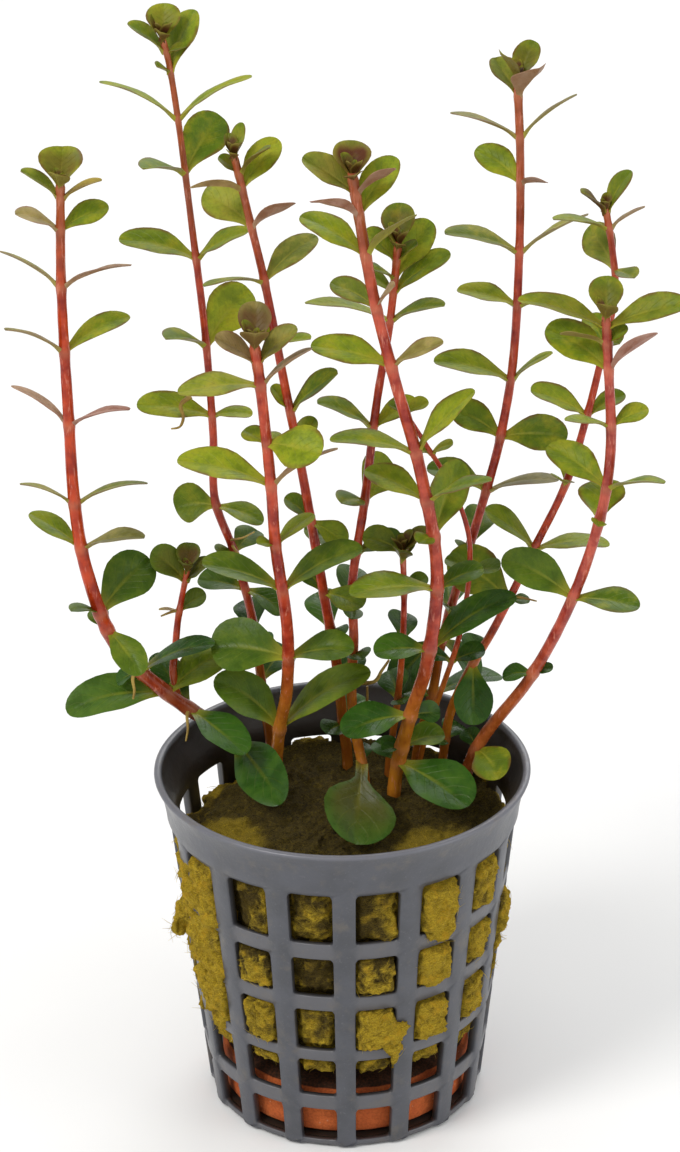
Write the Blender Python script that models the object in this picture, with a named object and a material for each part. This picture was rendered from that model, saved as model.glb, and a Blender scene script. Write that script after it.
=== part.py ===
"""Red stemmed aquarium plant in its net pot, with a rock wool plug and a clay weight.

Metres, +Z up. The origin is the centre of the pot's underside, and the front is towards -Y.
Lengths below are in millimetres until MM turns them into metres. Angles are in degrees, and an
azimuth turns from +X (the right) towards +Y (the back).
"""
import math

import bmesh
import bpy
from mathutils import Vector

MM = 0.001
CLEARANCE = 0.4
SHARP_ANGLE = 35.0

# Net pot: heights and outer radii of the wall, from the underside up.
POT_HEIGHT = 50.0
FOOT_RADIUS = 19.25
BAND_FOOT = 42.7
BAND_FOOT_RADIUS = 23.95
RIM_RADIUS = 26.0
WALL = 1.3
FLOOR = 1.0
RIB_COUNT = 16
RIB_ANGLE = 7.7
FRONT_RIB = 270.0
WINDOW_ROWS = [(1.0, 6.4), (8.8, 14.9), (16.7, 23.5), (25.9, 32.15), (34.7, 42.7)]
HUB_RADIUS = 6.5
SLOT_OUTER_RADIUS = 14.5

# Clay weight: a disc with its upper edge worn round.
CLAY_RADIUS = 17.2
CLAY_FOOT = 1.4
CLAY_TOP = 9.2
CLAY_EDGE = 0.8
CLAY_SIDES = 24

# Rock wool plug.
WOOL_FOOT = 12.6
WOOL_EDGE_HEIGHT = 42.4
WOOL_CROWN = 43.8
WOOL_CROWN_RADIUS = 13.0
WOOL_SLACK = 0.7
SWELL_ANGLE = 11.6
SWELL_INSET = 0.9
SWELL_TAPER = 0.4
# The wool sinks at its edge behind these windows, which are counted as for the swells.
HOLLOW_WINDOWS = (10, 11)
HOLLOW_DEPTH = 3.0
# How far the wool stands out of a window past the outside of the pot. The first number of a key
# is the window, counted from the front rib towards the right, and the second is its row, from
# the foot up.
SWELLS = {
    (12, 4): 1.1, (12, 3): 1.2, (12, 2): 1.0,
    (13, 4): 1.3, (13, 3): 1.4, (13, 2): 1.2,
    (14, 3): 0.5, (14, 2): 0.4,
    (0, 3): 0.4, (0, 2): 1.2,
    (1, 4): 1.2, (1, 3): 0.8, (1, 2): 1.0,
    (2, 4): 0.6, (2, 3): 0.5, (2, 2): 0.6,
    (3, 3): 1.1,
    (5, 4): 0.8, (5, 3): 0.6,
    (6, 3): 1.1, (6, 2): 0.5,
    (8, 4): 0.6, (8, 3): 1.2, (8, 2): 0.7,
    (9, 3): 0.5,
    (10, 2): 0.9,
    (11, 3): 0.8, (11, 2): 1.0,
}

# Stems and leaves.
NODE_HALF = 0.42
BEND_MARGIN = 3.5
# A leaf is this wide, plus a share of its length. Low leaves are broader, up to the last factor.
LEAF_WIDTH = 2.0
LEAF_WIDTH_SHARE = 0.27
LEAF_MAX_SHARE = 0.75
LOW_LEAF_WIDENING = 1.25
LOW_LEAF_HEIGHTS = (60.0, 95.0)
LEAF_KEEL = 0.10
LEAF_ARCH = 30.0
LEAF_TWIST = 18.0
# Stations of a leaf: share of its length, and share of its full width there.
LEAF_OUTLINE = [(0.36, 0.90), (0.76, 0.88)]
SMALL_LEAF = 5.0
SMALL_LEAF_OUTLINE = [(0.55, 0.95)]

# Each shoot: the points that it runs through, its radius at the foot and at the tip, and its leaf
# pairs. A pair is the height of its node, the azimuth of its first leaf, and the two opposite
# leaves. A leaf is its length, its rise, how far its blade turns to the front, and its width. The
# last two are left out where they are the usual ones.
SHOOTS = {
    "shoot_far_left": {
        "route": [
            (-10, 13, 34), (-13, 12.2, 45), (-17, 9, 51), (-24, 5.5, 58.5), (-30.5, 3, 67),
            (-34, 1, 79), (-35.3, 1, 89), (-35.6, 1, 102), (-35.8, 1, 120), (-35.3, 1, 135),
        ],
        "radii": (1.3, 0.62),
        "pairs": [
            (48.4, 293, (16, -9, 35, 7), (4, 5)),
            (55.4, 320, (11, -20, 10), (9.5, 42, 25, 4.5)),
            (58.6, 8, (11.5, 34, 30), (14.5, -6, 30, 6.2)),
            (62.7, 350, (12, 26, 8, 5), (4, -30)),
            (70, 310, (8.5, -30, 20, 4.6), (4, 30)),
            (72.8, 45, (10.9, 26, 42, 6.8), (6, 24, 10, 3)),
            (83, 340, (10, 18, 8, 3.8), (8.6, 28, 14, 3.8)),
            (89.5, 10, (10.4, 13, -10, 3.4), (8.2, 27, -15, 3)),
            (101, 340, (9.6, 21, -8, 3.8), (9.4, 30, -14, 3.4)),
            (111.3, 30, (10.4, 18, 12, 4), (10, 31, -8, 3.6)),
            (120.4, 345, (10.6, 22, -19, 3.6), (9.4, 28, -20, 3.2)),
            (128.2, 20, (7.1, 21, 28), (6.8, 28, 15)),
            (132.5, 355, (6.2, 26, 0, 2), (6.4, 38, 10, 3)),
            (134, 88, (5.8, 50, 0, 5.8), (4, 44)),
        ],
    },
    "shoot_far_left_side": {
        "route": [(-23.2, 6.3, 61.6), (-22.9, 7.5, 64), (-22.3, 8, 69), (-20.7, 7.3, 77.2)],
        "radii": (0.6, 0.4),
        "pairs": [
            (70, 15, (4.4, 30, 30), (3, 12, 0, 1)),
            (74.6, 350, (5, 42), (6.4, 42, 40, 4.4)),
            (76.2, 80, (4.2, 52, 0, 3.4), (3, 50)),
        ],
    },
    "shoot_left_tall": {
        "route": [
            (-9, 18, 34), (-10.3, 17, 45), (-11.2, 16, 54), (-12.4, 15, 65.7), (-14.6, 14, 76),
            (-17, 13, 84.4), (-17, 13, 94), (-17.7, 12, 109.5), (-19.1, 12, 125.3),
            (-20.4, 12, 139), (-21.4, 12, 147), (-22.2, 12, 150.6),
        ],
        "radii": (0.78, 0.45),
        "pairs": [
            (55, 60, (8, 15), (6, 10)),
            (63, 100, (7, 20), (6, 0)),
            (70, 348, (6.5, -30), (7, 8)),
            (76, 55, (6, 12), (4, 20)),
            (83.5, 350, (7, -18), (6, -5, 60, 5.6)),
            (97, 0, (5.6, 2, 10), (10.5, 9, 25)),
            (107.6, 50, (10.6, 30, 40, 6.6), (9, 24, 5)),
            (120, 350, (8.5, 31, 15), (10.8, 13, 20)),
            (132, 52, (9.8, 36, 40, 6), (9.4, 20, 5)),
            (139.5, 5, (11.4, 29, -2, 3.8), (11.6, 28, -8, 3.6)),
            (145.8, 50, (8.8, 58, 0, 5.6), (3, 30)),
            (148.4, 175, (6.4, 38, 10, 3.4), (3, 20)),
            (150, 85, (5, 62, 0, 4.6), (3, 40)),
        ],
    },
    "shoot_left_middle": {
        "route": [
            (0.8, 13, 34), (0.7, 12.6, 45), (0.2, 12, 50), (-0.6, 10.6, 60), (-2.2, 8, 72),
            (-4.7, 4, 91), (-7.1, 2, 106.5), (-9.3, 2, 120), (-11.2, 2, 129.3),
            (-13, 2, 138),
        ],
        "radii": (0.9, 0.55),
        "pairs": [
            (50, 60, (7, 10), (5, 10)),
            (58, 60, (6, 15), (3.5, 20)),
            (66, 105, (8, 20), (5, 15)),
            (72.5, 322, (7, 0, 30), (5, 42)),
            (84.5, 345, (5.7, -31, 30), (5, 42)),
            (95.9, 35, (5, 55), (5.5, 35)),
            (101.8, 350, (9, 43), (4.4, 55)),
            (111.8, 340, (5, 15, 5), (5, 22)),
            (120.5, 38, (9.8, 26, 20, 4.2), (10, 10, -14, 3.4)),
            (128, 330, (8, 34, -24, 3), (8.1, 26, 45, 5.4)),
            (133.3, 30, (8, 44, 30), (7.8, 12, -24)),
            (135.2, 345, (6, 44, -8), (3.5, 40)),
            (137.4, 75, (5, 50, 0, 2), (2.5, 36)),
        ],
    },
    "shoot_front": {
        "route": [
            (-9.3, 10, 34), (-9.3, 8.2, 45), (-8.6, 5.5, 53), (-7.5, 3, 60), (-7.2, -1, 71.4),
            (-8.5, -5, 85.8), (-8.9, -7, 95.5), (-10, -8, 110), (-10.7, -8, 116),
        ],
        "radii": (1.05, 0.75),
        "pairs": [
            (52.8, 355, (16, 36, 25, 6.4), (12, 40, 50, 6)),
            (66.3, 350, (9.5, 12, 22), (11, 4, 45, 8)),
            (78.2, 8, (12.5, 27, 12, 5.4), (12, 25, 14, 5.4)),
            (85.8, 30, (6.8, 28, -5), (3, 20)),
            (95.4, 350, (10.8, 33, -22), (13, 13, 20)),
            (101.6, 325, (8.5, 2, 35, 6.6), (4, 15)),
            (110, 10, (8.4, 33, -18), (10.9, -1, 15)),
            (112.8, 0, (7.4, 44, 22), (6.8, 36, 24)),
            (115, 90, (6.5, 52, 0, 4.4), (5.5, 44, 0, 3.8)),
        ],
    },
    "shoot_centre": {
        "route": [
            (6.6, 4, 34), (7.3, 3.9, 45), (8, 3.5, 49.5), (9.6, 2, 57), (11.7, 0, 65.5),
            (13, -2, 80), (10.7, -3, 95.7), (7.3, -3, 109), (4.6, -3, 121), (2.1, -3, 137),
        ],
        "radii": (1.15, 0.75),
        "pairs": [
            (48.4, 315, (13.5, -9, 15, 8.5), (5, 20)),
            (50.9, 18, (6.5, 10, 20), (3, 0)),
            (56.4, 20, (4.5, -5, 40), (10.3, -4, 25, 6)),
            (67.7, 15, (14.3, 28, 25, 4.8), (8, 5)),
            (77.5, 15, (7, 20), (12.5, 5, 12)),
            (85.6, 58, (11.5, 44, 45, 5.4), (4, 10)),
            (91, 340, (10, 25, 0), (9.5, 20)),
            (98.1, 5, (11.6, 47, 10), (11.8, 12, 2)),
            (110.4, 350, (7.9, 28, 8), (11, 12, 22)),
            (118.5, 330, (4.6, 54), (7.2, 20, 25)),
            (125.7, 340, (9.4, 43, -12), (10.2, 26, 18)),
            (131.2, 45, (9.3, 42, 24), (9.5, 26, -23, 3.2)),
            (134, 350, (6.5, 36, -24), (8.4, 34, 30)),
            (136, 92, (5.6, 48, 0, 5), (3.5, 30)),
        ],
    },
    "shoot_back_middle": {
        "route": [
            (3.6, 6, 34), (3, 6.8, 45), (1.9, 7.8, 51), (1.4, 8.6, 57), (1.8, 8.8, 64.8),
            (1.7, 8.8, 73.6), (3.4, 8.5, 85.5), (5.2, 8, 100.7), (7, 8, 112), (8.2, 8, 123.5),
        ],
        "radii": (0.85, 0.55),
        "pairs": [
            (46.6, 268, (19, 0, 25, 9), (4, 20)),
            (62.5, 285, (5, 20), (4, 10)),
            (70, 90, (8, 20), (4, 0)),
            (78, 350, (7, 25), (8, 25)),
            (86, 60, (8, 25, 50, 6), (7, 20)),
            (97, 10, (7, 30), (9, 30, 8)),
            (112.5, 350, (8, 20, 5), (11.8, 10, -8)),
            (116.3, 0, (9.5, 36, 20), (5, 38)),
            (118.4, 45, (9.4, 42, 35, 5), (5, 30)),
            (120.7, 350, (4, 44), (6, 44, 30)),
            (122.5, 88, (6.5, 52, 0, 4.6), (3, 34)),
        ],
    },
    "shoot_right_tall": {
        "route": [
            (9.5, 15.5, 34), (10.9, 15.4, 45), (12.7, 15, 52.5), (14.3, 15, 62), (17, 15, 72.4),
            (20.3, 16, 84), (22.1, 16, 91.5), (23.8, 16, 103), (24.5, 16, 118.6),
            (24.5, 16, 132.4), (24, 16, 143.5),
        ],
        "radii": (0.8, 0.6),
        "pairs": [
            (53, 20, (11, 6, 0), (5, 15)),
            (61.6, 8, (8.5, -52, 30), (10.5, -48, 30)),
            (66, 90, (8, 15), (7, 30)),
            (76, 70, (8, 20), (4, 20)),
            (84, 350, (10.5, 13, -3), (9, 20)),
            (92, 345, (9.5, 5, 45, 5.4), (8, 27, 42, 4.8)),
            (100.4, 0, (7, 35, -8), (11.1, 16, 14)),
            (111.3, 345, (7.4, 7, -5), (8.6, 10, 8)),
            (118.9, 10, (10.7, 26, -18), (11, 19, 3)),
            (128.6, 320, (4.5, 15, -30), (8.2, 24, 35)),
            (135, 0, (9.6, 38, -20, 3), (10, 21, -10, 3.4)),
            (140.6, 308, (6.6, 50, 0, 5.2), (6.4, 42, 0, 4.8)),
            (142.6, 50, (6, 52), (6, 55)),
        ],
    },
    "shoot_right_back": {
        "route": [
            (13.5, 12.5, 34), (14.3, 11.9, 45), (15.3, 11.5, 52), (17.5, 11, 58), (21.5, 10.5, 66),
            (26.7, 10, 78), (30.8, 9, 88), (33.5, 9, 98), (35.8, 9, 109), (36.9, 9, 115.5),
            (36.5, 9, 121), (35.4, 9, 127.5),
        ],
        "radii": (0.75, 0.5),
        "pairs": [
            (47.5, 65, (5, 5), (4, 20)),
            (60, 268, (9, -52, 0), (5, 30)),
            (69.9, 355, (3, 0), (10.6, 36, 60, 7)),
            (77.9, 355, (10.6, 5, 0), (9, 40, 8)),
            (88, 75, (6, 30), (5, 30)),
            (98, 15, (6, 25), (9.4, 30, 30)),
            (108, 110, (6, 25), (5, 25)),
            (118.8, 300, (4.6, 5, 10), (7.8, 30, 45, 4.8)),
            (124.7, 10, (5.6, 30, -22), (8, 14, -5)),
            (126.7, 30, (6.6, 56, 0, 4.2), (5.6, 44, 10, 3.4)),
        ],
    },
    "shoot_right_front": {
        "route": [
            (16.5, 9, 34), (17.7, 8.3, 45), (20, 7.5, 50.5), (26, 5, 60.5), (31.5, 1, 74.8),
            (34.9, -1, 88), (35.9, -2, 97.7), (35.5, -2, 107.6), (34.9, -2, 116.6),
        ],
        "radii": (1.0, 0.7),
        "pairs": [
            (48, 290, (9.5, 0, 20), (4, 20)),
            (61.4, 350, (3, 20), (4.5, -12)),
            (74.6, 337, (9.6, 1, 16), (11.3, 22, 40, 5.6)),
            (87, 82, (6.6, 34, 0, 6.4), (3, 10)),
            (92, 325, (9.3, 18, -10), (10.3, 22, 30)),
            (101.2, 10, (5.5, 22), (6.5, 12, -5)),
            (109.1, 330, (9.6, 44, -23, 3.2), (10.3, 25, 35, 5.6)),
            (112.8, 0, (3.5, 40), (6.5, 14, -22)),
            (114.9, 345, (12, 22, 30, 4.6), (12.4, 15, 6, 4.4)),
            (116.1, 88, (6, 55, 0, 4.6), (4, 50)),
        ],
    },
    "shoot_thin": {
        "route": [
            (10, 9.5, 34), (10.8, 9.3, 45), (13, 8.5, 54), (16.5, 7, 67), (17.7, 6.5, 80),
            (15.6, 6.5, 88), (11.9, 6, 95), (8.5, 5.5, 101),
        ],
        "radii": (0.5, 0.35),
        "pairs": [
            (62, 0, (5, 20), (4, 20)),
            (76, 330, (5, 20), (4, 20)),
            (94, 345, (3.5, 30), (3, 10)),
            (100, 15, (3.5, 25), (3, 35)),
        ],
    },
    "shoot_inner": {
        "route": [
            (6, 10, 34), (6.5, 9.2, 45), (7.6, 8, 54), (8.4, 6, 64), (8.7, 4.5, 73.6),
            (8.5, 4, 81),
        ],
        "radii": (0.6, 0.45),
        "pairs": [
            (56, 100, (6, 20), (4, 20)),
            (66, 90, (6, 20), (5, 20)),
            (74, 20, (4, 30), (6, 25)),
            (79, 80, (4, 50), (4.5, 45)),
            (80.3, 350, (5, 45), (6, 20, 40)),
        ],
    },
}


def clear_scene():
    for thing in list(bpy.data.objects):
        bpy.data.objects.remove(thing, do_unlink=True)


def material(name, colour, roughness):
    made = bpy.data.materials.new(name)
    made.use_nodes = True
    shader = made.node_tree.nodes["Principled BSDF"]
    shader.inputs["Base Color"].default_value = (*colour, 1.0)
    shader.inputs["Roughness"].default_value = roughness
    shader.inputs["Metallic"].default_value = 0.0
    return made


def finished(name, bm, surface, guide=False):
    """Turns a bmesh in millimetres into an object in metres. A guide is only a tool shape."""
    bmesh.ops.scale(bm, vec=(MM, MM, MM), verts=bm.verts)
    bmesh.ops.recalc_face_normals(bm, faces=bm.faces)
    mesh = bpy.data.meshes.new(name)
    bm.to_mesh(mesh)
    bm.free()
    mesh.shade_smooth()
    mesh.set_sharp_from_angle(angle=math.radians(SHARP_ANGLE))
    mesh.materials.append(surface)
    made = bpy.data.objects.new(name, mesh)
    bpy.context.scene.collection.objects.link(made)
    if guide:
        made.hide_render = True
        made.display_type = "WIRE"
    return made


def boolean(thing, tool, operation):
    cut = thing.modifiers.new(operation.lower(), "BOOLEAN")
    cut.operation = operation
    cut.solver = "EXACT"
    cut.use_self = True
    cut.object = tool


def polar(radius, azimuth, height):
    turn = math.radians(azimuth)
    return Vector((radius * math.cos(turn), radius * math.sin(turn), height))


def loft(bm, rings):
    """Skins a row of point rings and closes its ends. The last ring may be a single point."""
    loops = [[bm.verts.new(point) for point in ring] for ring in rings]
    for low, high in zip(loops, loops[1:]):
        count = len(low)
        for i in range(count):
            j = (i + 1) % count
            if len(high) == 1:
                bm.faces.new((low[i], low[j], high[0]))
            else:
                bm.faces.new((low[i], low[j], high[j], high[i]))
    bm.faces.new(list(reversed(loops[0])))
    if len(loops[-1]) > 2:
        bm.faces.new(loops[-1])


def wall_radius(height):
    """Outer radius of the pot's tapered wall below its rim band."""
    return FOOT_RADIUS + (BAND_FOOT_RADIUS - FOOT_RADIUS) * height / BAND_FOOT


def pot_columns():
    """Azimuths of the rib edges, in turn round the pot. Each even one starts a rib."""
    edges = []
    for rib in range(RIB_COUNT):
        middle = FRONT_RIB + rib * 360.0 / RIB_COUNT
        edges += [middle - RIB_ANGLE / 2, middle + RIB_ANGLE / 2]
    return edges


def pot_levels():
    """Heights of the window sills and heads from the foot up."""
    return [0.0] + [edge for row in WINDOW_ROWS for edge in row]


def build_net_pot(surface):
    bm = bmesh.new()
    columns = pot_columns()
    count = len(columns)
    levels = pot_levels()
    band = [(24.9, 47.3), (RIM_RADIUS, 49.5), (25.75, POT_HEIGHT), (24.9, POT_HEIGHT)]
    band += [(23.2, 46.0)]

    outer = []
    inner = []
    for height in levels:
        radius = wall_radius(height)
        outer.append([bm.verts.new(polar(radius, a, height)) for a in columns])
        inner.append([bm.verts.new(polar(radius - WALL, a, height)) for a in columns])
    for vertex in inner[0]:
        bm.verts.remove(vertex)
    inner[0] = None
    rim = [[bm.verts.new(polar(radius, a, height)) for a in columns] for radius, height in band]

    def is_window(level, column):
        return level % 2 == 1 and column % 2 == 1

    def skin(low, high, column):
        j = (column + 1) % count
        bm.faces.new((low[column], low[j], high[j], high[column]))

    for level in range(len(levels) - 1):
        for column in range(count):
            if is_window(level, column):
                j = (column + 1) % count
                corners = [(level, column), (level, j), (level + 1, j), (level + 1, column)]
                sides = list(zip(corners, corners[1:] + corners[:1]))
                for (row_a, a), (row_b, b) in sides:
                    bm.faces.new((outer[row_a][a], outer[row_b][b], inner[row_b][b], inner[row_a][a]))
                continue
            skin(outer[level], outer[level + 1], column)
            if level > 0:
                skin(inner[level], inner[level + 1], column)
    stack = [outer[-1]] + rim + [inner[-1]]
    for low, high in zip(stack, stack[1:]):
        for column in range(count):
            skin(low, high, column)

    build_floor(bm, columns, outer[0], inner[1])
    return finished("net_pot", bm, surface)


def build_floor(bm, columns, underside_edge, top_edge):
    """A flat floor with eight slots between spokes that line up with every other rib."""
    count = len(columns)
    radii = [SLOT_OUTER_RADIUS, HUB_RADIUS]
    rings = {}
    for height in (0.0, FLOOR):
        rings[height] = [[bm.verts.new(polar(r, a, height)) for a in columns] for r in radii]
    for height, edge in ((0.0, underside_edge), (FLOOR, top_edge)):
        rows = [edge] + rings[height]
        for row, (low, high) in enumerate(zip(rows, rows[1:])):
            for column in range(count):
                j = (column + 1) % count
                if row == 1 and column % 4 != 0:
                    continue
                bm.faces.new((low[column], low[j], high[j], high[column]))
        bm.faces.new(rows[-1])
    for column in range(count):
        j = (column + 1) % count
        under = rings[0.0]
        over = rings[FLOOR]
        if column % 4 != 0:
            for ring in (0, 1):
                bm.faces.new((under[ring][column], under[ring][j], over[ring][j], over[ring][column]))
        if column % 4 in (0, 1):
            bm.faces.new((under[0][column], under[1][column], over[1][column], over[0][column]))


def build_clay_weight(surface):
    bm = bmesh.new()
    profile = [
        (CLAY_RADIUS, CLAY_FOOT), (CLAY_RADIUS, CLAY_TOP - CLAY_EDGE),
        (CLAY_RADIUS - CLAY_EDGE, CLAY_TOP),
    ]
    turns = [360.0 * i / CLAY_SIDES for i in range(CLAY_SIDES)]
    loft(bm, [[polar(radius, a, height) for a in turns] for radius, height in profile])
    return finished("clay_weight", bm, surface)


def wool_columns():
    edges = []
    for window in range(RIB_COUNT):
        middle = FRONT_RIB + (window + 0.5) * 360.0 / RIB_COUNT
        edges += [middle - SWELL_ANGLE / 2, middle + SWELL_ANGLE / 2]
    return edges


def wool_levels():
    """Heights of the foot and head of the swells in rows two to four of the windows."""
    levels = [WOOL_FOOT]
    for foot, head in WINDOW_ROWS[2:]:
        levels += [foot + SWELL_INSET, min(head, WOOL_EDGE_HEIGHT) - SWELL_INSET]
    return levels + [WOOL_EDGE_HEIGHT]


def build_wool(surface):
    bm = bmesh.new()
    columns = wool_columns()
    count = len(columns)
    levels = wool_levels()
    rings = []
    for level, height in enumerate(levels):
        ring = []
        for column, azimuth in enumerate(columns):
            sunk = level > len(levels) - 3 and column // 2 in HOLLOW_WINDOWS
            here = height - HOLLOW_DEPTH if sunk else height
            ring.append(bm.verts.new(polar(wall_radius(here) - WALL - WOOL_SLACK, azimuth, here)))
        rings.append(ring)
    for level in range(len(levels) - 1):
        for column in range(count):
            j = (column + 1) % count
            corners = [rings[level][column], rings[level][j], rings[level + 1][j]]
            corners.append(rings[level + 1][column])
            face = bm.faces.new(corners)
            key = (column // 2, (level + 3) // 2)
            if column % 2 == 0 and level % 2 == 1 and key in SWELLS:
                swell(bm, face, SWELLS[key])
    shoulder = WOOL_CROWN - 0.5
    crown = [bm.verts.new(polar(WOOL_CROWN_RADIUS, a, shoulder)) for a in columns[::2]]
    peak = bm.verts.new((0.0, 0.0, WOOL_CROWN))
    top = rings[-1]
    for i in range(0, count, 2):
        here = crown[i // 2]
        there = crown[(i // 2 + 1) % len(crown)]
        after = top[(i + 2) % count]
        bm.faces.new((top[i], top[i + 1], here))
        bm.faces.new((top[i + 1], after, there, here))
        bm.faces.new((here, there, peak))
    bm.faces.new(list(reversed(rings[0])))
    made = finished("wool_plug", bm, surface)
    boolean(made, build_sockets(surface), "DIFFERENCE")
    return made


def swell(bm, face, stand_out):
    """Pushes a patch of wool out through its window, a little smaller at its outer end."""
    made = bmesh.ops.extrude_discrete_faces(bm, faces=[face])["faces"][0]
    middle = made.calc_center_median()
    reach = WOOL_SLACK + WALL + stand_out
    for vertex in made.verts:
        outward = Vector((vertex.co.x, vertex.co.y, 0.0)).normalized()
        vertex.co += (middle - vertex.co) * SWELL_TAPER + outward * reach


def stem_point(stem, height):
    """The stem's middle at a height."""
    points = [Vector(p) for p in stem["route"]]
    i = 0
    while i < len(points) - 2 and points[i + 1].z < height:
        i += 1
    low, high = points[i], points[i + 1]
    return low + (high - low) * (height - low.z) / (high.z - low.z)


def stem_radius(stem, height):
    foot, tip = stem["route"][0][2], stem["route"][-1][2]
    share = (height - foot) / (tip - foot)
    return stem["radii"][0] + (stem["radii"][1] - stem["radii"][0]) * share


def stem_ring(stem, height, azimuth, shift=0.0, extra=0.0):
    """Six points round the stem and square to it, with flat sides towards the azimuth and away."""
    along = (stem_point(stem, height + 2.0) - stem_point(stem, height - 2.0)).normalized()
    out = polar(1.0, azimuth, 0.0)
    out = (out - along * out.dot(along)).normalized()
    side = along.cross(out)
    middle = stem_point(stem, height) + along * shift
    radius = stem_radius(stem, height) + extra
    ring = []
    for degrees in (-30, 30, 90, 150, 210, 270):
        turn = math.radians(degrees)
        ring.append(middle + radius * (math.cos(turn) * out + math.sin(turn) * side))
    return ring


def build_sockets(surface):
    """The holes in the wool that the feet of the stems stand in, as one tool shape."""
    bm = bmesh.new()
    for stem in SHOOTS.values():
        foot, head = stem["route"][0][2], stem["route"][1][2]
        if foot > WOOL_CROWN:
            continue
        sunk = Vector((0.0, 0.0, CLEARANCE))
        low = stem_ring(stem, foot, 0.0, extra=CLEARANCE)
        high = stem_ring(stem, head, 0.0, extra=CLEARANCE)
        loft(bm, [[point - sunk for point in low], high])
    return finished("wool_sockets", bm, surface, guide=True)


def leaf_width(height, length):
    low, high = LOW_LEAF_HEIGHTS
    lowness = min(max((high - height) / (high - low), 0.0), 1.0)
    width = LEAF_WIDTH + LEAF_WIDTH_SHARE * length
    width *= 1.0 + (LOW_LEAF_WIDENING - 1.0) * lowness
    return min(width, LEAF_MAX_SHARE * length)


def add_leaf(bm, stem, height, azimuth, leaf, root):
    """A flat blade with a keel beneath, arched a little, that grows from a side of the stem.

    The root is the four corners of that side: low right, low left, high left, high right.
    """
    length, rise = leaf[:2]
    twist = math.radians(leaf[2] if len(leaf) > 2 else LEAF_TWIST)
    out = polar(1.0, azimuth, 0.0)
    level = polar(1.0, azimuth - 90.0, 0.0)
    lean = math.sin(twist) if out.x >= 0.0 else -math.sin(twist)
    width = leaf[3] if len(leaf) > 3 else leaf_width(height, length)
    outline = LEAF_OUTLINE if length > SMALL_LEAF else SMALL_LEAF_OUTLINE
    point = stem_point(stem, height)
    blade = []
    reached = 0.0
    for share, spread in outline + [(1.0, 0.0)]:
        pitch = math.radians(rise + LEAF_ARCH * (0.5 - (share + reached) / 2))
        along = out * math.cos(pitch) + Vector((0.0, 0.0, math.sin(pitch)))
        above = Vector((0.0, 0.0, math.cos(pitch))) - out * math.sin(pitch)
        point = point + along * length * (share - reached)
        reached = share
        if share == 1.0:
            tip = bm.verts.new(point)
            break
        half = width * spread / 2
        across = (level * math.cos(twist) - above * lean) * half
        over = above * math.cos(twist) + level * lean
        corners = [point + across, point - across, point - over * 2 * half * LEAF_KEEL]
        blade.append([bm.verts.new(corner) for corner in corners])
    low_right, low_left, high_left, high_right = root
    right, left, keel = blade[0]
    bm.faces.new((high_right, high_left, left, right))
    bm.faces.new((high_left, low_left, left))
    bm.faces.new((low_left, keel, left))
    bm.faces.new((low_left, low_right, keel))
    bm.faces.new((low_right, right, keel))
    bm.faces.new((low_right, high_right, right))
    for near, far in zip(blade, blade[1:]):
        for i in range(3):
            j = (i + 1) % 3
            bm.faces.new((near[i], near[j], far[j], far[i]))
    right, left, keel = blade[-1]
    bm.faces.new((right, left, tip))
    bm.faces.new((left, keel, tip))
    bm.faces.new((keel, right, tip))


def skin_stem(bm, low, high, open_sides=()):
    """Joins two rings of the stem, each corner to the nearest one, but for its open sides."""
    turn = min(range(len(high)), key=lambda k: (high[k].co - low[0].co).length)
    high = high[turn:] + high[:turn]
    for i in range(len(low)):
        if i not in open_sides:
            j = (i + 1) % len(low)
            bm.faces.new((low[i], low[j], high[j], high[i]))


def build_shoot(name, stem, surface):
    """One closed skin of a stem and its leaves, which grow from two opposite sides at a node."""
    bm = bmesh.new()
    route = stem["route"]
    below = [bm.verts.new(point) for point in stem_ring(stem, route[0][2], 0.0)]
    bm.faces.new(list(reversed(below)))
    nodes = [pair[0] for pair in stem["pairs"]]
    plain = [route[1][2], route[-1][2]]
    for bend in route[2:-1]:
        if min(abs(bend[2] - node) for node in nodes) > BEND_MARGIN:
            plain.append(bend[2])
    stops = [(bend, None) for bend in plain] + [(pair[0], pair) for pair in stem["pairs"]]
    azimuth = 0.0
    for height, pair in sorted(stops, key=lambda stop: stop[0]):
        if pair is None:
            ring = [bm.verts.new(point) for point in stem_ring(stem, height, azimuth)]
            skin_stem(bm, below, ring)
            below = ring
            continue
        azimuth = pair[1]
        low, high = (
            [bm.verts.new(point) for point in stem_ring(stem, height, azimuth, shift)]
            for shift in (-NODE_HALF, NODE_HALF)
        )
        skin_stem(bm, below, low)
        skin_stem(bm, low, high, open_sides=(0, 3))
        add_leaf(bm, stem, height, azimuth, pair[2], (low[0], low[1], high[1], high[0]))
        add_leaf(bm, stem, height, azimuth + 180.0, pair[3], (low[3], low[4], high[4], high[3]))
        below = high
    bm.faces.new(below)
    return finished(name, bm, surface)


def build():
    clear_scene()
    plastic = material("slate_plastic", (0.14, 0.14, 0.17), 0.45)
    wool = material("rock_wool", (0.36, 0.24, 0.03), 0.95)
    clay = material("terracotta", (0.55, 0.13, 0.03), 0.85)
    plant = material("red_stem_green_leaf", (0.20, 0.24, 0.03), 0.45)
    build_net_pot(plastic)
    build_wool(wool)
    build_clay_weight(clay)
    for name, stem in SHOOTS.items():
        build_shoot(name, stem, plant)


build()
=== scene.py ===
"""Looks of a red stemmed aquarium plant in its net pot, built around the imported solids.

Lengths are in millimetres until MM turns them into metres. Angles are in degrees, and an azimuth
turns from +X (the right) towards +Y (the back). The front is towards -Y.
"""
import math
import random

import bmesh
import bpy
from mathutils import Matrix, Vector, noise


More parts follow.
